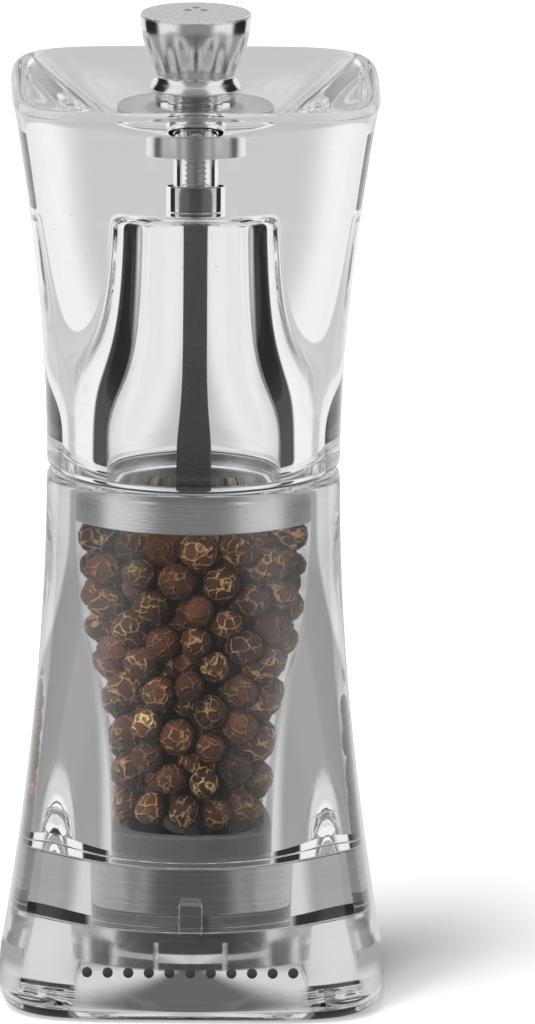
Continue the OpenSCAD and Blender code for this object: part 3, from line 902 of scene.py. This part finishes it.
@dataclass
class Neck:
    """The steel collar in the chamber's mouth and the slip ring that the head turns on."""

    bore: float = 14.1
    outside: float = 14.97
    flange: float = 17.25
    chamfer: float = 0.5
    ring_in: float = 15.3
    ring_out: float = 17.05

    def build(self) -> list[bpy.types.Object]:
        """Builds and dresses the neck.

        Returns:
            Its pieces.
        """
        low, high = low_z("collar"), high_z("collar")
        seat = high_z("lower_body") + 0.02
        collar = lathe(
            [
                (self.bore + self.chamfer, low, 0.08), (self.outside, low, 0.12), (self.outside, seat, 0.05),
                (self.flange, seat, 0.08), (self.flange, high, 0.08), (self.bore, high, 0.15),
                (self.bore, low + 0.8, 0.3),
            ],
            192,
        )
        ring_low, ring_high = low_z("slip_ring") + 0.01, high_z("slip_ring")
        ring = lathe(
            [
                (self.ring_in, ring_low, 0.05), (self.ring_out, ring_low, 0.08),
                (self.ring_out, ring_high, 0.1), (self.ring_in, ring_high, 0.08),
            ],
            160,
        )
        pieces = [
            place(collar, "steel_collar", Body.BASE, ("collar",)),
            place(ring, "nylon_slip_ring", Body.BASE, ("slip_ring",)),
        ]
        return [dress(pieces[0], SATIN_STEEL), dress(pieces[1], DARK_NYLON)]


@dataclass
class Grinder:
    """The housing, its steel band and retaining ring, and the grinder inside them."""

    sleeve_r: float = 14.3
    burr_r: float = 12.5
    flange_r: float = 18.15
    drum_r: float = 17.5
    throat_r: float = 14.9
    seat_r: float = 13.4
    ledge_r: float = 12.2
    band_r: float = 18.0
    ring_out: float = 20.9
    ring_in: float = 14.4
    key_in: float = 18.4
    key_out: float = 19.7
    key_w: float = 2.9
    key_z: float = 14.2
    notch_w: float = 9.4
    notch_h: float = 2.6
    notch_r: float = 15.8
    coil_r: float = 3.59
    wire_r: float = 0.25
    coils: float = 4.5

    def housing(self) -> Skin:
        """The dark moulding: flange, drum, throat and the sleeve that holds the grinding ring.

        Returns:
            The skin.
        """
        low, top = low_z("mechanism_housing"), high_z("mechanism_housing")
        flange_low, flange_high = low_z("steel_band") - 1.5, low_z("steel_band")
        band_top, burr_top, ledge = high_z("steel_band"), high_z("grinding_ring"), low_z("bearing_bracket")
        return lathe(
            [
                (self.burr_r, low, 0.1), (self.sleeve_r, low, 0.25), (self.sleeve_r, flange_low, 0.2),
                (self.flange_r, flange_low, 0.2), (self.flange_r, flange_high, 0.2),
                (self.drum_r - 0.02, flange_high, 0.05), (self.drum_r - 0.02, band_top, 0.25),
                (self.throat_r, band_top, 0.15), (self.throat_r, top, 0.2), (self.seat_r, top, 0.2),
                (self.seat_r, ledge, 0.05), (self.ledge_r, ledge, 0.15), (self.burr_r - 1.4, burr_top, 0.1),
                (self.burr_r, burr_top, 0.02),
            ],
            180,
        )

    def band(self) -> Skin:
        """The brushed steel band with rolled edges."""
        low, high = low_z("steel_band"), high_z("steel_band")
        inner, outer = self.drum_r, self.band_r
        corners = [
            (inner, low + 0.02, 0.05), (outer, low + 0.02, 0.16), (outer, high, 0.16), (inner, high, 0.05),
        ]
        return lathe(corners, 192)

    def ring(self) -> Skin:
        """The clear retaining ring with finger notches in its lower inner edge.

        The bore's radius is a function of the angle: in the lowest stretch it steps out
        to the notch's radius within half a notch's width of each notch.  The keys are
        bars with a rounded, nearly square plan.

        Returns:
            The skin.
        """
        low, shelf = low_z("retaining_ring"), low_z("steel_band") - 1.52
        b, o = self.ring_in, self.ring_out
        table = [
            (b, low, 0.0), (o, low, 0.4), (o, shelf, 0.25), (b, shelf, 0.2),
            (b, low + self.notch_h + 0.01, 0.0), (b, low + self.notch_h, 0.0),
        ]
        rows, fillets = plain(table)
        rows = soften(rows, fillets)
        half = math.asin(self.notch_w / 2 / self.notch_r)
        deep = (rows[:, 0] < b + 1e-6) & (rows[:, 1] < low + self.notch_h + 0.005)
        spots = (-90.0, 0.0, 90.0, 180.0)
        skin = Skin.ring(notched_grid(rows, 216, spots, half, deep, self.notch_r / b))
        for bearing in KEY_BEARINGS:
            skin = skin.joined(self.key(shelf).turned(bearing))
        return skin

    def key(self, shelf: float) -> Skin:
        """One key: a bar whose rounded plan is carried upwards from the ring.

        Args:
            shelf: Height of the ring's top.

        Returns:
            The skin.
        """
        turn = round_angles(32)
        cos, sin = np.cos(turn), np.sin(turn)
        size = 1 / (np.abs(cos) ** 8 + np.abs(sin) ** 8) ** (1 / 8)
        height = np.array([shelf - 0.6, shelf, self.key_z - 0.25, self.key_z - 0.08, self.key_z])
        inset = np.array([0.0, 0.0, 0.0, 0.06, 0.22])[:, None]
        middle, deep = (self.key_in + self.key_out) / 2, (self.key_out - self.key_in) / 2
        x = middle + (deep - inset) * (size * cos)[None]
        y = (self.key_w / 2 - inset) * (size * sin)[None]
        return Skin.plug(np.stack([x, y, height[:, None] + 0 * x], -1))

    def coil(self) -> Skin:
        """The spring: a circle of wire carried along a helix that levels out at both ends."""
        low, high = low_z("spring") + self.wire_r, high_z("spring") - self.wire_r
        along = np.linspace(0, 1, 150)[:, None]
        turn = 2 * np.pi * self.coils * along + math.radians(HEAD_TURN)
        round_ = -round_angles(12)[None]
        radius = self.coil_r + self.wire_r * np.cos(round_)
        height = low + (high - low) * step(along) + self.wire_r * np.sin(round_)
        return Skin.plug(np.stack([radius * np.cos(turn), radius * np.sin(turn), height], -1))

    def build(self) -> list[bpy.types.Object]:
        """Builds and dresses the grinder.

        Returns:
            Its pieces, CAD nodes among them.
        """
        made = [
            (self.housing(), "grinder_housing", Body.BASE, "dark_plastic", "mechanism_housing", DARK_PLASTIC),
            (self.band(), "brushed_band", Body.BASE, "satin_steel", "steel_band", BAND_STEEL),
            (self.ring(), "clear_retaining_ring", Body.BASE, "clear_plastic", "retaining_ring", RING_PLASTIC),
            (self.coil(), "cone_spring", Body.ROTOR, "bright_steel", "spring", BRIGHT_STEEL),
        ]
        pieces = [dress(place(s, n, b, (cad,)), finish) for s, n, b, slot, cad, finish in made]
        kept = {
            "grinding_ring": BURR_STEEL, "grinding_cone": BURR_STEEL, "bearing_bracket": DARK_PLASTIC,
            "bracket_bush": PALE_NYLON, "thrust_washer": BRIGHT_STEEL, "cone_washer": BRIGHT_STEEL,
            "cone_screw": BRIGHT_STEEL,
        }
        return pieces + [dress(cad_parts[node], finish) for node, finish in kept.items()]


@dataclass
class PepperFill:
    """Dried peppercorns, settled by their own weight in the chamber."""

    count: int = 300
    small: float = 2.0
    large: float = 2.6
    wall_r: float = 14.9
    spindle_r: float = 3.25
    steps: int = 900
    seed: int = 11

    def settle(self) -> tuple[np.ndarray, np.ndarray]:
        """Lets corns fall and push each other apart until they rest.

        Each step lowers every corn a little, then moves overlapping pairs apart along the
        line of their centres and keeps each corn between spindle and wall.

        Returns:
            The centres and the radii.
        """
        chance = np.random.default_rng(self.seed)
        radius = chance.uniform(self.small, self.large, self.count)
        turn, away = chance.uniform(0, 2 * np.pi, self.count), chance.uniform(5.8, 12.3, self.count)
        floor = high_z("mechanism_housing") + 0.2
        roof = low_z("collar") - 0.1
        height = chance.uniform(floor + 3, roof - 3, self.count)
        centre = np.column_stack([away * np.cos(turn), away * np.sin(turn), height])
        reach = radius[:, None] + radius[None]
        far = np.eye(self.count) * 99
        for k in range(self.steps):
            centre[:, 2] -= 0.05 * max(0.0, 1 - k / (0.75 * self.steps))
            apart = centre[:, None] - centre[None]
            gap = np.sqrt((apart**2).sum(-1)) + far
            push = np.clip(reach - gap, 0, None) / gap * 0.28
            centre += (push[..., None] * apart).sum(1)
            across = np.hypot(centre[:, 0], centre[:, 1]) + 1e-9
            kept = np.clip(across, self.spindle_r + radius, self.wall_r - radius)
            centre[:, :2] *= (kept / across)[:, None]
            centre[:, 2] = np.clip(centre[:, 2], floor + radius, roof - radius)
        gap = np.sqrt(((centre[:, None] - centre[None]) ** 2).sum(-1)) + far
        return centre, np.minimum(radius, radius * (gap / reach).min(1) * 1.03)

    def corn(self) -> tuple[np.ndarray, np.ndarray]:
        """A ball of 80 faces: an icosahedron whose edges are halved and pushed out to the ball.

        Returns:
            Its points on a ball of radius 1 and its triangles.
        """
        g = (1 + 5**0.5) / 2
        base = np.array(
            [(-1, g, 0), (1, g, 0), (-1, -g, 0), (1, -g, 0), (0, -1, g), (0, 1, g),
             (0, -1, -g), (0, 1, -g), (g, 0, -1), (g, 0, 1), (-g, 0, -1), (-g, 0, 1)], float
        )
        tri = np.array(
            [(0, 11, 5), (0, 5, 1), (0, 1, 7), (0, 7, 10), (0, 10, 11), (1, 5, 9), (5, 11, 4),
             (11, 10, 2), (10, 7, 6), (7, 1, 8), (3, 9, 4), (3, 4, 2), (3, 2, 6), (3, 6, 8),
             (3, 8, 9), (4, 9, 5), (2, 4, 11), (6, 2, 10), (8, 6, 7), (9, 8, 1)]
        )
        sides = np.sort(np.concatenate([tri[:, [0, 1]], tri[:, [1, 2]], tri[:, [2, 0]]]), axis=1)
        pairs, which = np.unique(sides, axis=0, return_inverse=True)
        middle = (base[pairs[:, 0]] + base[pairs[:, 1]]) / 2
        points = np.concatenate([base, middle])
        points /= np.linalg.norm(points, axis=1, keepdims=True)
        ab, bc, ca = (len(base) + which.ravel()[k * 20 : (k + 1) * 20] for k in range(3))
        a, b, c = tri.T
        faces = np.concatenate(
            [np.column_stack(x) for x in ((a, ab, ca), (b, bc, ab), (c, ca, bc), (ab, bc, ca))]
        )
        return points, faces

    def build(self) -> list[bpy.types.Object]:
        """Builds every corn as the same ball, turned, dented and scaled on its own.

        A corn's point is the ball's direction times the corn's radius times 1 plus a sum
        of three slow waves of that direction, which dents it.

        Returns:
            The one piece that holds all corns.
        """
        centre, radius = self.settle()
        ball, faces = self.corn()
        chance = np.random.default_rng(self.seed + 1)
        n = len(radius)
        turn, _ = np.linalg.qr(chance.normal(size=(n, 3, 3)))
        turn *= np.sign(np.linalg.det(turn))[:, None, None]
        way = np.einsum("pk,nkj->npj", ball, turn)
        waves = chance.normal(size=(n, 3, 3)) * 2.1
        phase = chance.uniform(0, 2 * np.pi, (n, 1, 3))
        dents = np.sin(np.einsum("npk,nkj->npj", way, waves) + phase).sum(-1) * 0.022
        points = centre[:, None] + way * (radius[:, None] * (0.985 + np.clip(dents, -0.07, 0.02)))[..., None]
        numbers = faces[None] + (np.arange(n) * len(ball))[:, None, None]
        skin = Skin(points.reshape(-1, 3), np.zeros((0, 4), int), numbers.reshape(-1, 3))
        piece = place(skin, "dried_peppercorns", Body.BASE, ("peppercorns",), 180.0)
        tone = np.column_stack(
            [chance.beta(1.1, 1.6, n), chance.uniform(0, 1, n), chance.beta(1.3, 1.3, n), np.ones(n)]
        )
        layer = piece.data.color_attributes.new("corn_tone", "FLOAT_COLOR", "POINT")
        layer.data.foreach_set("color", np.repeat(tone, len(ball), 0).astype(np.float32).ravel())
        return [dress(piece, PEPPERCORN)]


@dataclass
class Spindle:
    """The square bar with its chamfered shoulder and its thread."""

    width: float = 4.3
    squareness: float = 24.0
    thread_r: float = 2.0
    root_r: float = 1.62
    pitch: float = 0.7
    below_bush: float = 0.2

    def shoulder(self) -> float:
        """Height where the bar ends and the thread starts, just inside the drive bush."""
        return high_z("drive_bush") - self.below_bush

    def square(self, low: float) -> np.ndarray:
        """Rings of the bar: a rounded square that shrinks to the thread's root at the shoulder.

        Args:
            low: Height of the bar's lower end.

        Returns:
            Points as rings by columns by 3.
        """
        half, square, top = self.width / 2, self.squareness, self.shoulder()
        chamfer = half * math.sqrt(2) - self.thread_r
        rows = [
            (half - 0.15, low, square), (half, low + 0.15, square), (half, low + 10, square),
            (half, 40, square), (half, 70, square), (half, 90, square), (half, top - chamfer, square),
            (half * 0.985, top - 0.72 * chamfer, 9.0), (half * 0.965, top - 0.3 * chamfer, 3.2),
            (self.thread_r, top - 0.02, 2.0), (self.root_r, top + 0.02, 2.0),
        ]
        return plan_grid(np.array(rows), round_angles(96))

    def screw(self, high: float) -> np.ndarray:
        """Rings of the thread: a radius that rises and falls with height minus turn.

        With s the distance to the nearest crest in pitches, the radius is the root's plus
        the depth times a clipped straight flank of s, and the run-outs fade to the root.

        Args:
            high: Height of the spindle's upper end.

        Returns:
            Points as rings by columns by 3.
        """
        angles = round_angles(96)[None]
        height = np.arange(self.shoulder() + 0.05, high, self.pitch / 10)[:, None]
        s = np.abs((height / self.pitch - angles / (2 * np.pi)) % 1.0 - 0.5) * 2
        flank = np.clip((s - 0.12) / 0.72, 0, 1)
        fade = np.clip((high - 0.15 - height) / 0.5, 0, 1) * np.clip((height - self.shoulder()) / 0.5, 0, 1)
        radius = self.root_r + (self.thread_r - self.root_r) * flank * fade
        return np.stack([radius * np.cos(angles), radius * np.sin(angles), height + 0 * radius], -1)

    def build(self) -> list[bpy.types.Object]:
        """Builds and dresses the spindle.

        Returns:
            Its piece.
        """
        grid = np.concatenate([self.square(low_z("spindle")), self.screw(high_z("spindle"))])
        skin = Skin.plug(grid).turned(HEAD_TURN)
        piece = place(skin, "square_spindle", Body.SPINDLE, ("spindle",), 45.0)
        return [dress(piece, SPINDLE_STEEL)]


@dataclass
class Head:
    """The clear head with its cavity and dish, its drive bush and the clear disc on top."""

    outline: Outline = field(default_factory=Outline)
    rim_flare: float = 4.7
    rim_edge: float = 1.2
    waist_edge: float = 0.9
    face_z: float = 67.15
    floor_z: float = 112.45
    spigot_r: float = 14.03
    cavity_low_r: float = 11.03
    cavity_high_r: float = 10.33
    cavity_edge: float = 1.6
    bush_r: float = 3.71
    bush_flange: float = 0.6
    flange_out: float = 0.78
    hole_half: float = 2.2
    bore_r: float = 2.8
    plug_r: float = 6.2
    plug_z: float = 109.45
    disc_r: float = 9.9
    columns: int = 240

    def ceiling(self) -> float:
        """Height of the cavity's ceiling, which the drive bush's flange lies against."""
        return low_z("drive_bush") + self.bush_flange

    def skin(self) -> Skin:
        """The closed shell: outside, rim and dish, then the stepped bore and the cavity.

        Across the dish the half-width goes straight from the lip to the disc, the height
        goes down evenly, and the exponent falls from the square one to 2 with the square
        of the share, which leaves soft valleys towards the corners.

        Returns:
            The skin.
        """
        low, top = low_z("head"), high_z("head")
        tall, rim_half = top - self.face_z, self.outline.waist_half + self.rim_flare
        arc = np.radians(np.linspace(0, 75, 6))
        lift = self.waist_edge * (1 - np.cos(arc))
        edge = self.outline.rows(0.0, np.zeros(6), self.face_z + lift, self.waist_edge * (1 - np.sin(arc)))
        height = np.linspace(self.face_z + self.waist_edge, top - self.rim_edge, 48)
        wall = self.outline.rows(self.rim_flare, (height - self.face_z) / tall, height)
        arc = np.radians(np.linspace(15, 150, 10))
        rim = np.column_stack(
            [
                rim_half - self.rim_edge * (1 - np.cos(arc)),
                top - self.rim_edge + self.rim_edge * np.sin(arc),
                np.full(10, self.outline.square_power),
            ]
        )
        u = np.linspace(0, 1, 22)[1:]
        lip_a, lip_z = rim[-1, 0], rim[-1, 1]
        dish = np.column_stack(
            [lip_a + (self.disc_r + 0.4 - lip_a) * u, lip_z + (self.floor_z - lip_z) * u,
             self.outline.square_power + (2 - self.outline.square_power) * u * u]
        )
        b, c, h = self.bush_r + 0.01, self.ceiling(), self.cavity_high_r
        bush_top = high_z("drive_bush")
        bore, bore_fillets = plain(
            [
                (self.plug_r, self.floor_z, 0.15), (self.plug_r, self.plug_z, 0.15),
                (self.bore_r, self.plug_z, 0.15), (self.bore_r, bush_top, 0.1),
                (b, bush_top, 0.1), (b, c, 0.15),
                (h, c, self.cavity_edge * 1.2), (self.cavity_low_r, self.face_z, 0.0),
                (self.cavity_low_r, low, 0.3),
            ]
        )
        spigot, spigot_fillets = plain([(self.spigot_r, low, 0.3), (self.spigot_r, self.face_z, 0.15)])
        rows = np.concatenate([spigot, edge, wall, rim, dish, bore])
        middle = np.zeros(len(rows) - len(spigot) - len(bore))
        fillets = np.concatenate([spigot_fillets, middle, bore_fillets])
        grid = plan_grid(soften(rows, fillets, 7), round_angles(self.columns))
        return Skin.ring(grid).turned(HEAD_TURN)

    def bush(self) -> Skin:
        """The drive bush: round outside, with a square hole through it.

        The exponent of its rings is 2 outside and 24 in the hole.

        Returns:
            The skin.
        """
        low, high, ceiling = low_z("drive_bush"), high_z("drive_bush"), self.ceiling() - 0.02
        r, hole, flange = self.bush_r - 0.02, self.hole_half, self.bush_r + self.flange_out
        rows = np.array(
            [
                (hole, low, 24), (hole + 0.5, low, 6), (flange, low, 2), (flange, ceiling, 2),
                (r, ceiling, 2), (r, high, 2), (hole + 0.3, high, 6), (hole, high - 0.02, 24),
            ]
        )
        fillets = np.array([0.1, 0, 0.12, 0.1, 0.03, 0.15, 0, 0.1])
        return Skin.ring(plan_grid(soften(rows, fillets), round_angles(96))).turned(HEAD_TURN)

    def disc(self) -> Skin:
        """The clear disc under the knob, with its plug in the head."""
        low, high, seat = low_z("seat_disc"), high_z("seat_disc"), self.floor_z + 0.02
        return lathe(
            [
                (self.bore_r, low, 0.1), (self.plug_r - 0.06, low, 0.2), (self.plug_r - 0.06, seat, 0.05),
                (self.disc_r, seat, 0.1), (self.disc_r, high, 0.25), (self.bore_r, high, 0.12),
            ],
            160,
        )

    def build(self) -> list[bpy.types.Object]:
        """Builds and dresses the head.

        Returns:
            Its pieces.
        """
        shell = place(self.skin(), "clear_head", Body.HEAD, ("head",), 50.0)
        bush = place(self.bush(), "clear_drive_bush", Body.HEAD, ("drive_bush",))
        disc = place(self.disc(), "clear_seat_disc", Body.HEAD, ("seat_disc",))
        return [dress(shell, ACRYLIC), dress(bush, CLEAR_PLASTIC), dress(disc, FROSTED)]


@dataclass
class Knob:
    """The chromed knob with its insert and mark, and the clear washer below it."""

    skirt_r: float = 5.9
    neck_r: float = 5.1
    neck_z: float = 1.9
    top_r: float = 7.0
    height: float = 9.8
    dome: float = 0.4
    edge: float = 0.35
    insert_r: float = 3.92
    insert_l: float = 5.57
    washer_r: float = 5.1
    washer_hole: float = 2.3
    dot_r: float = 0.5
    dot_spread: float = 1.15

    def skin(self) -> Skin:
        """The knob: skirt, neck, bowl and dome outside, and the insert's pocket below.

        The bowl's radius is the neck's plus the rest times the sine of a quarter turn of
        the share of its height, and the dome is a shallow arc.

        Returns:
            The skin.
        """
        base, tall = low_z("knob"), self.height - self.neck_z - self.edge
        u = np.linspace(0, 1, 26)
        swell = (self.top_r - self.neck_r) * np.sin(u * np.pi / 2)
        bowl = np.column_stack([self.neck_r + swell, self.neck_z + tall * u])
        arc = np.radians(np.linspace(15, 88, 6))
        lip = np.column_stack(
            [self.top_r - self.edge * (1 - np.cos(arc)), self.height - self.edge + self.edge * np.sin(arc)]
        )
        across = np.linspace(self.top_r - self.edge - 0.15, 0.05, 18)
        flat = self.top_r - self.edge
        crown = np.column_stack([across, self.height + self.dome * (1 - (across / flat) ** 2)])
        foot = np.array(
            [
                (0.05, self.insert_l), (self.insert_r - 0.2, self.insert_l),
                (self.insert_r, self.insert_l - 0.15), (self.insert_r, 0.2), (self.insert_r + 0.15, 0.0),
                (self.skirt_r - 0.25, 0.0), (self.skirt_r - 0.06, 0.05), (self.skirt_r, 0.22),
                (self.skirt_r - 0.06, 0.45), (self.neck_r + 0.35, 1.1),
                (self.neck_r + 0.1, self.neck_z - 0.45), (self.neck_r + 0.01, self.neck_z - 0.15),
            ]
        )
        profile = np.concatenate([foot, bowl, lip, crown])
        rows = np.column_stack([profile[:, 0], profile[:, 1] + base, np.full(len(profile), 2.0)])
        return Skin.plug(plan_grid(rows, round_angles(144)))

    def mark(self) -> Skin:
        """Three round enamel dots that stand a hair above the dome."""
        base = low_z("knob")
        whole = Skin(np.zeros((0, 3)), np.zeros((0, 4), int))
        turn = round_angles(28)
        ring, lift = np.array([1.0, 1.0, 0.85, 0.5]), np.array([-0.25, 0.01, 0.035, 0.045])
        for bearing in (90.0, 210.0, 330.0):
            a = math.radians(bearing)
            x = self.dot_spread * math.cos(a) + self.dot_r * ring[:, None] * np.cos(turn)
            y = self.dot_spread * math.sin(a) + self.dot_r * ring[:, None] * np.sin(turn)
            fall = self.dome * (1 - (x**2 + y**2) / (self.top_r - self.edge) ** 2)
            whole = whole.joined(Skin.plug(np.stack([x, y, base + self.height + fall + lift[:, None]], -1)))
        return whole

    def build(self) -> list[bpy.types.Object]:
        """Builds and dresses the knob.

        Returns:
            Its pieces, the CAD insert among them.
        """
        low, high = low_z("knob_washer") + 0.01, high_z("knob_washer")
        washer = lathe(
            [
                (self.washer_hole, low, 0.1), (self.washer_r, low, 0.3), (self.washer_r, high, 0.3),
                (self.washer_hole, high, 0.1),
            ]
        )
        seat = place(washer, "clear_knob_washer", Body.SEAT, ("knob_washer",))
        dress(seat, CLEAR_PLASTIC)
        knob = place(self.skin(), "chromed_knob", Body.KNOB, ("knob",), 60.0)
        dress(knob, CHROME)
        dots = place(self.mark(), "enamel_dots", Body.KNOB, ("knob_mark",))
        dress(dots, MARK_ENAMEL)
        return [seat, knob, dots, dress(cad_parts["knob_insert"], BRASS)]


# ---------------------------------------------------------------- studio


@dataclass
class Studio:
    """A white floor and surround, soft lamps and the camera."""

    lens: float = 694.0
    away: float = 2.5
    rise: float = 12.3
    aim: tuple[float, float, float] = (0.0094, 0.0, 0.0608)
    lean: float = 0.35
    card_tone: float = 0.66
    cards: tuple[tuple[float, float, float], ...] = (
        (5.0, 15.0, 0.97), (46.0, 52.0, 0.02), (88.0, 102.0, 1.0), (132.0, 154.0, 0.32),
    )
    top_tone: float = 0.9
    floor_tone: float = 0.56
    floor_share: float = 0.65
    floor_front: float = 0.13
    floor_reach: tuple[float, float] = (0.27, 0.36)
    floor_edge: float = 6.0
    paper: tuple[float, float] = (0.57, 0.59)
    front_from: float = 110.0
    front_to: float = 150.0
    key_from: tuple[float, float, float] = (-0.36, -0.27, 0.89)
    key_strength: float = 4.4
    key_angle: float = 36.0

    def grey(self, value: float) -> tuple[float, float, float, float]:
        """A neutral grey that is very slightly cool."""
        return (value, value, value * 1.01, 1.0)

    def room_tone(self) -> bpy.types.NodeTree:
        """Brightness of the studio by direction, which the acrylic and the metals show.

        The tone depends on the angle between the direction, seen from above, and straight
        back: a grey card behind, bright at its edges, then black flags, white side cards and
        a dim front.  High up it goes over to the pale ceiling.

        Returns:
            The node group, which takes a direction and gives a colour.
        """
        if "room_tone" in bpy.data.node_groups:
            return bpy.data.node_groups["room_tone"]
        tree = bpy.data.node_groups.new("room_tone", "ShaderNodeTree")
        tree.interface.new_socket(name="Way", in_out="INPUT", socket_type="NodeSocketVector")
        tree.interface.new_socket(name="Tone", in_out="OUTPUT", socket_type="NodeSocketColor")
        bench = Bench(tree)
        entry, out = bench.put("NodeGroupInput"), bench.put("NodeGroupOutput")
        way = bench.put("VectorMath", {0: entry.outputs[0]}, operation="NORMALIZE").outputs[0]
        part = bench.put("SeparateXYZ", {0: way}).outputs
        aside = bench.maths("ARCTAN2", bench.maths("ABSOLUTE", part[0]), part[1])
        tone = self.grey(self.card_tone)
        for near, far, value in self.cards:
            tone = bench.mix(bench.ramp(aside, math.radians(near), math.radians(far)), tone, self.grey(value))
        high = bench.maths("MULTIPLY", bench.ramp(part[2], 0.45, 0.85), bench.ramp(part[1], -0.75, -0.3))
        tone = bench.mix(high, tone, self.grey(self.top_tone))
        bench.tree.links.new(tone, out.inputs[0])
        return tree

    def surround(self) -> None:
        """White to the camera; the toned room to reflections and refractions."""
        world = bpy.data.worlds.new("studio")
        bpy.context.scene.world = world
        world.use_nodes = True
        bench = Bench(world.node_tree)
        way = bench.put("TexCoord").outputs["Generated"]
        room = bench.put("Group", node_tree=self.room_tone())
        bench.tree.links.new(way, room.inputs[0])
        seen = bench.put("LightPath").outputs["Is Camera Ray"]
        tone = bench.mix(seen, room.outputs[0], (1.0, 1.0, 1.0, 1.0))
        air = bench.put("Background", {"Color": tone, "Strength": 1.0})
        bench.put("OutputWorld", {"Surface": air.outputs[0]})

    def floor(self) -> None:
        """A wide pale floor, which takes the mill's shadow and shows the room's tone in the acrylic."""
        mesh = bpy.data.meshes.new("floor")
        edge, low = self.floor_edge, -0.0001
        corners = [(-edge, -edge, low), (edge, -edge, low), (edge, edge, low), (-edge, edge, low)]
        mesh.from_pydata(corners, [], [(0, 1, 2, 3)])
        floor = bpy.data.objects.new("floor", mesh)
        bpy.context.scene.collection.objects.link(floor)
        material = bpy.data.materials.new("floor_paper")
        material.use_nodes = True
        bench = Bench(material.node_tree)
        spot = bench.put("TexCoord").outputs["Object"]
        grain = bench.noise(spot, 900.0, 3.0)
        paper = bench.mix(grain, self.grey(self.paper[0]), self.grey(self.paper[1]))
        shader = bench.put("BsdfPrincipled", {"Base Color": paper, "Roughness": 0.9})
        shader.inputs["Specular IOR Level"].default_value = 0.0
        way = bench.put("VectorMath", {0: spot, 1: (1.0, 1.0, 0.0)}, operation="MULTIPLY").outputs[0]
        room = bench.put("Group", node_tree=self.room_tone())
        bench.tree.links.new(way, room.inputs[0])
        part = bench.put("SeparateXYZ", {0: way}).outputs
        aside = bench.maths("ARCTAN2", bench.maths("ABSOLUTE", part[0]), part[1])
        front = bench.ramp(aside, math.radians(self.front_from), math.radians(self.front_to))
        pale = bench.mix(self.floor_share, room.outputs[0], self.grey(self.floor_tone))
        near = bench.mix(front, pale, self.grey(self.floor_front))
        distance = bench.put("VectorMath", {0: way}, operation="LENGTH").outputs["Value"]
        far = bench.ramp(distance, *self.floor_reach)
        glow = bench.put("Emission", {"Color": bench.mix(far, near, room.outputs[0]), "Strength": 1.0})
        seen = bench.put("LightPath").outputs["Is Camera Ray"]
        shell = bench.put("MixShader", {0: seen, 1: glow.outputs[0], 2: shader.outputs[0]})
        bench.put("OutputMaterial", {"Surface": shell.outputs[0]})
        mesh.materials.append(material)

    def sun(self) -> None:
        """The soft key light from the left front, even over the whole floor."""
        data = bpy.data.lights.new("key_light", "SUN")
        data.energy, data.angle = self.key_strength, math.radians(self.key_angle)
        light = bpy.data.objects.new("key_light", data)
        light.rotation_euler = Vector(self.key_from).to_track_quat("Z", "Y").to_euler()
        light.visible_glossy = light.visible_transmission = False
        bpy.context.scene.collection.objects.link(light)

    def lamp(
        self, name: str, at: tuple[float, float, float], size: tuple[float, float], watts: float
    ) -> None:
        """Adds a soft rectangular lamp that faces the mill.

        Args:
            name: Name of the lamp.
            at: Its place in metres.
            size: Its width and height in metres.
            watts: Its power.
        """
        data = bpy.data.lights.new(name, "AREA")
        data.shape, data.size, data.size_y, data.energy = "RECTANGLE", size[0], size[1], watts
        lamp = bpy.data.objects.new(name, data)
        lamp.location = at
        lamp.rotation_euler = (Vector((0, 0, 0.06)) - Vector(at)).to_track_quat("-Z", "Y").to_euler()
        lamp.visible_camera = lamp.visible_glossy = lamp.visible_transmission = False
        bpy.context.scene.collection.objects.link(lamp)

    def camera(self) -> None:
        """The camera in front of the mill, a little above it."""
        data = bpy.data.cameras.new("camera")
        data.lens, data.sensor_width, data.sensor_fit = self.lens, 36.0, "AUTO"
        data.clip_start, data.clip_end = 0.05, 60.0
        camera = bpy.data.objects.new("camera", data)
        lift = math.radians(self.rise)
        aim = Vector(self.aim)
        camera.location = aim + Vector((0, -math.cos(lift), math.sin(lift))) * self.away
        level = (aim - camera.location).to_track_quat("-Z", "Y")
        camera.rotation_euler = (level @ Quaternion((0, 0, 1), math.radians(self.lean))).to_euler()
        bpy.context.scene.collection.objects.link(camera)
        bpy.context.scene.camera = camera

    def build(self) -> None:
        """Sets the studio up, with light paths long enough for nested clear walls."""
        self.camera()
        self.surround()
        self.floor()
        self.sun()
        self.lamp("front_lamp", (-0.4, -0.85, 0.3), (0.16, 0.2), 10.0)
        self.lamp("left_strip", (-0.7, -0.15, 0.2), (0.1, 0.7), 0.8)
        self.lamp("right_strip", (0.7, -0.15, 0.2), (0.1, 0.7), 1.2)
        scene = bpy.context.scene
        scene.view_settings.view_transform = "Standard"
        scene.cycles.max_bounces = 24
        scene.cycles.transmission_bounces = 24
        scene.cycles.glossy_bounces = 12
        scene.cycles.diffuse_bounces = 3
        scene.cycles.transparent_max_bounces = 24
        scene.cycles.caustics_reflective = False
        scene.cycles.caustics_refractive = False


def main() -> None:
    """Builds the studio and every part of the mill, and reports each piece."""
    logging.basicConfig(level=logging.INFO, format="%(name)s: %(message)s")
    Studio().build()
    for part in (LowerBody(), Neck(), Grinder(), PepperFill(), Spindle(), Head(), Knob()):
        pieces = part.build()
        LOG.info("%s: %d pieces", type(part).__name__, len(pieces))


if __name__ == "__main__":
    main()
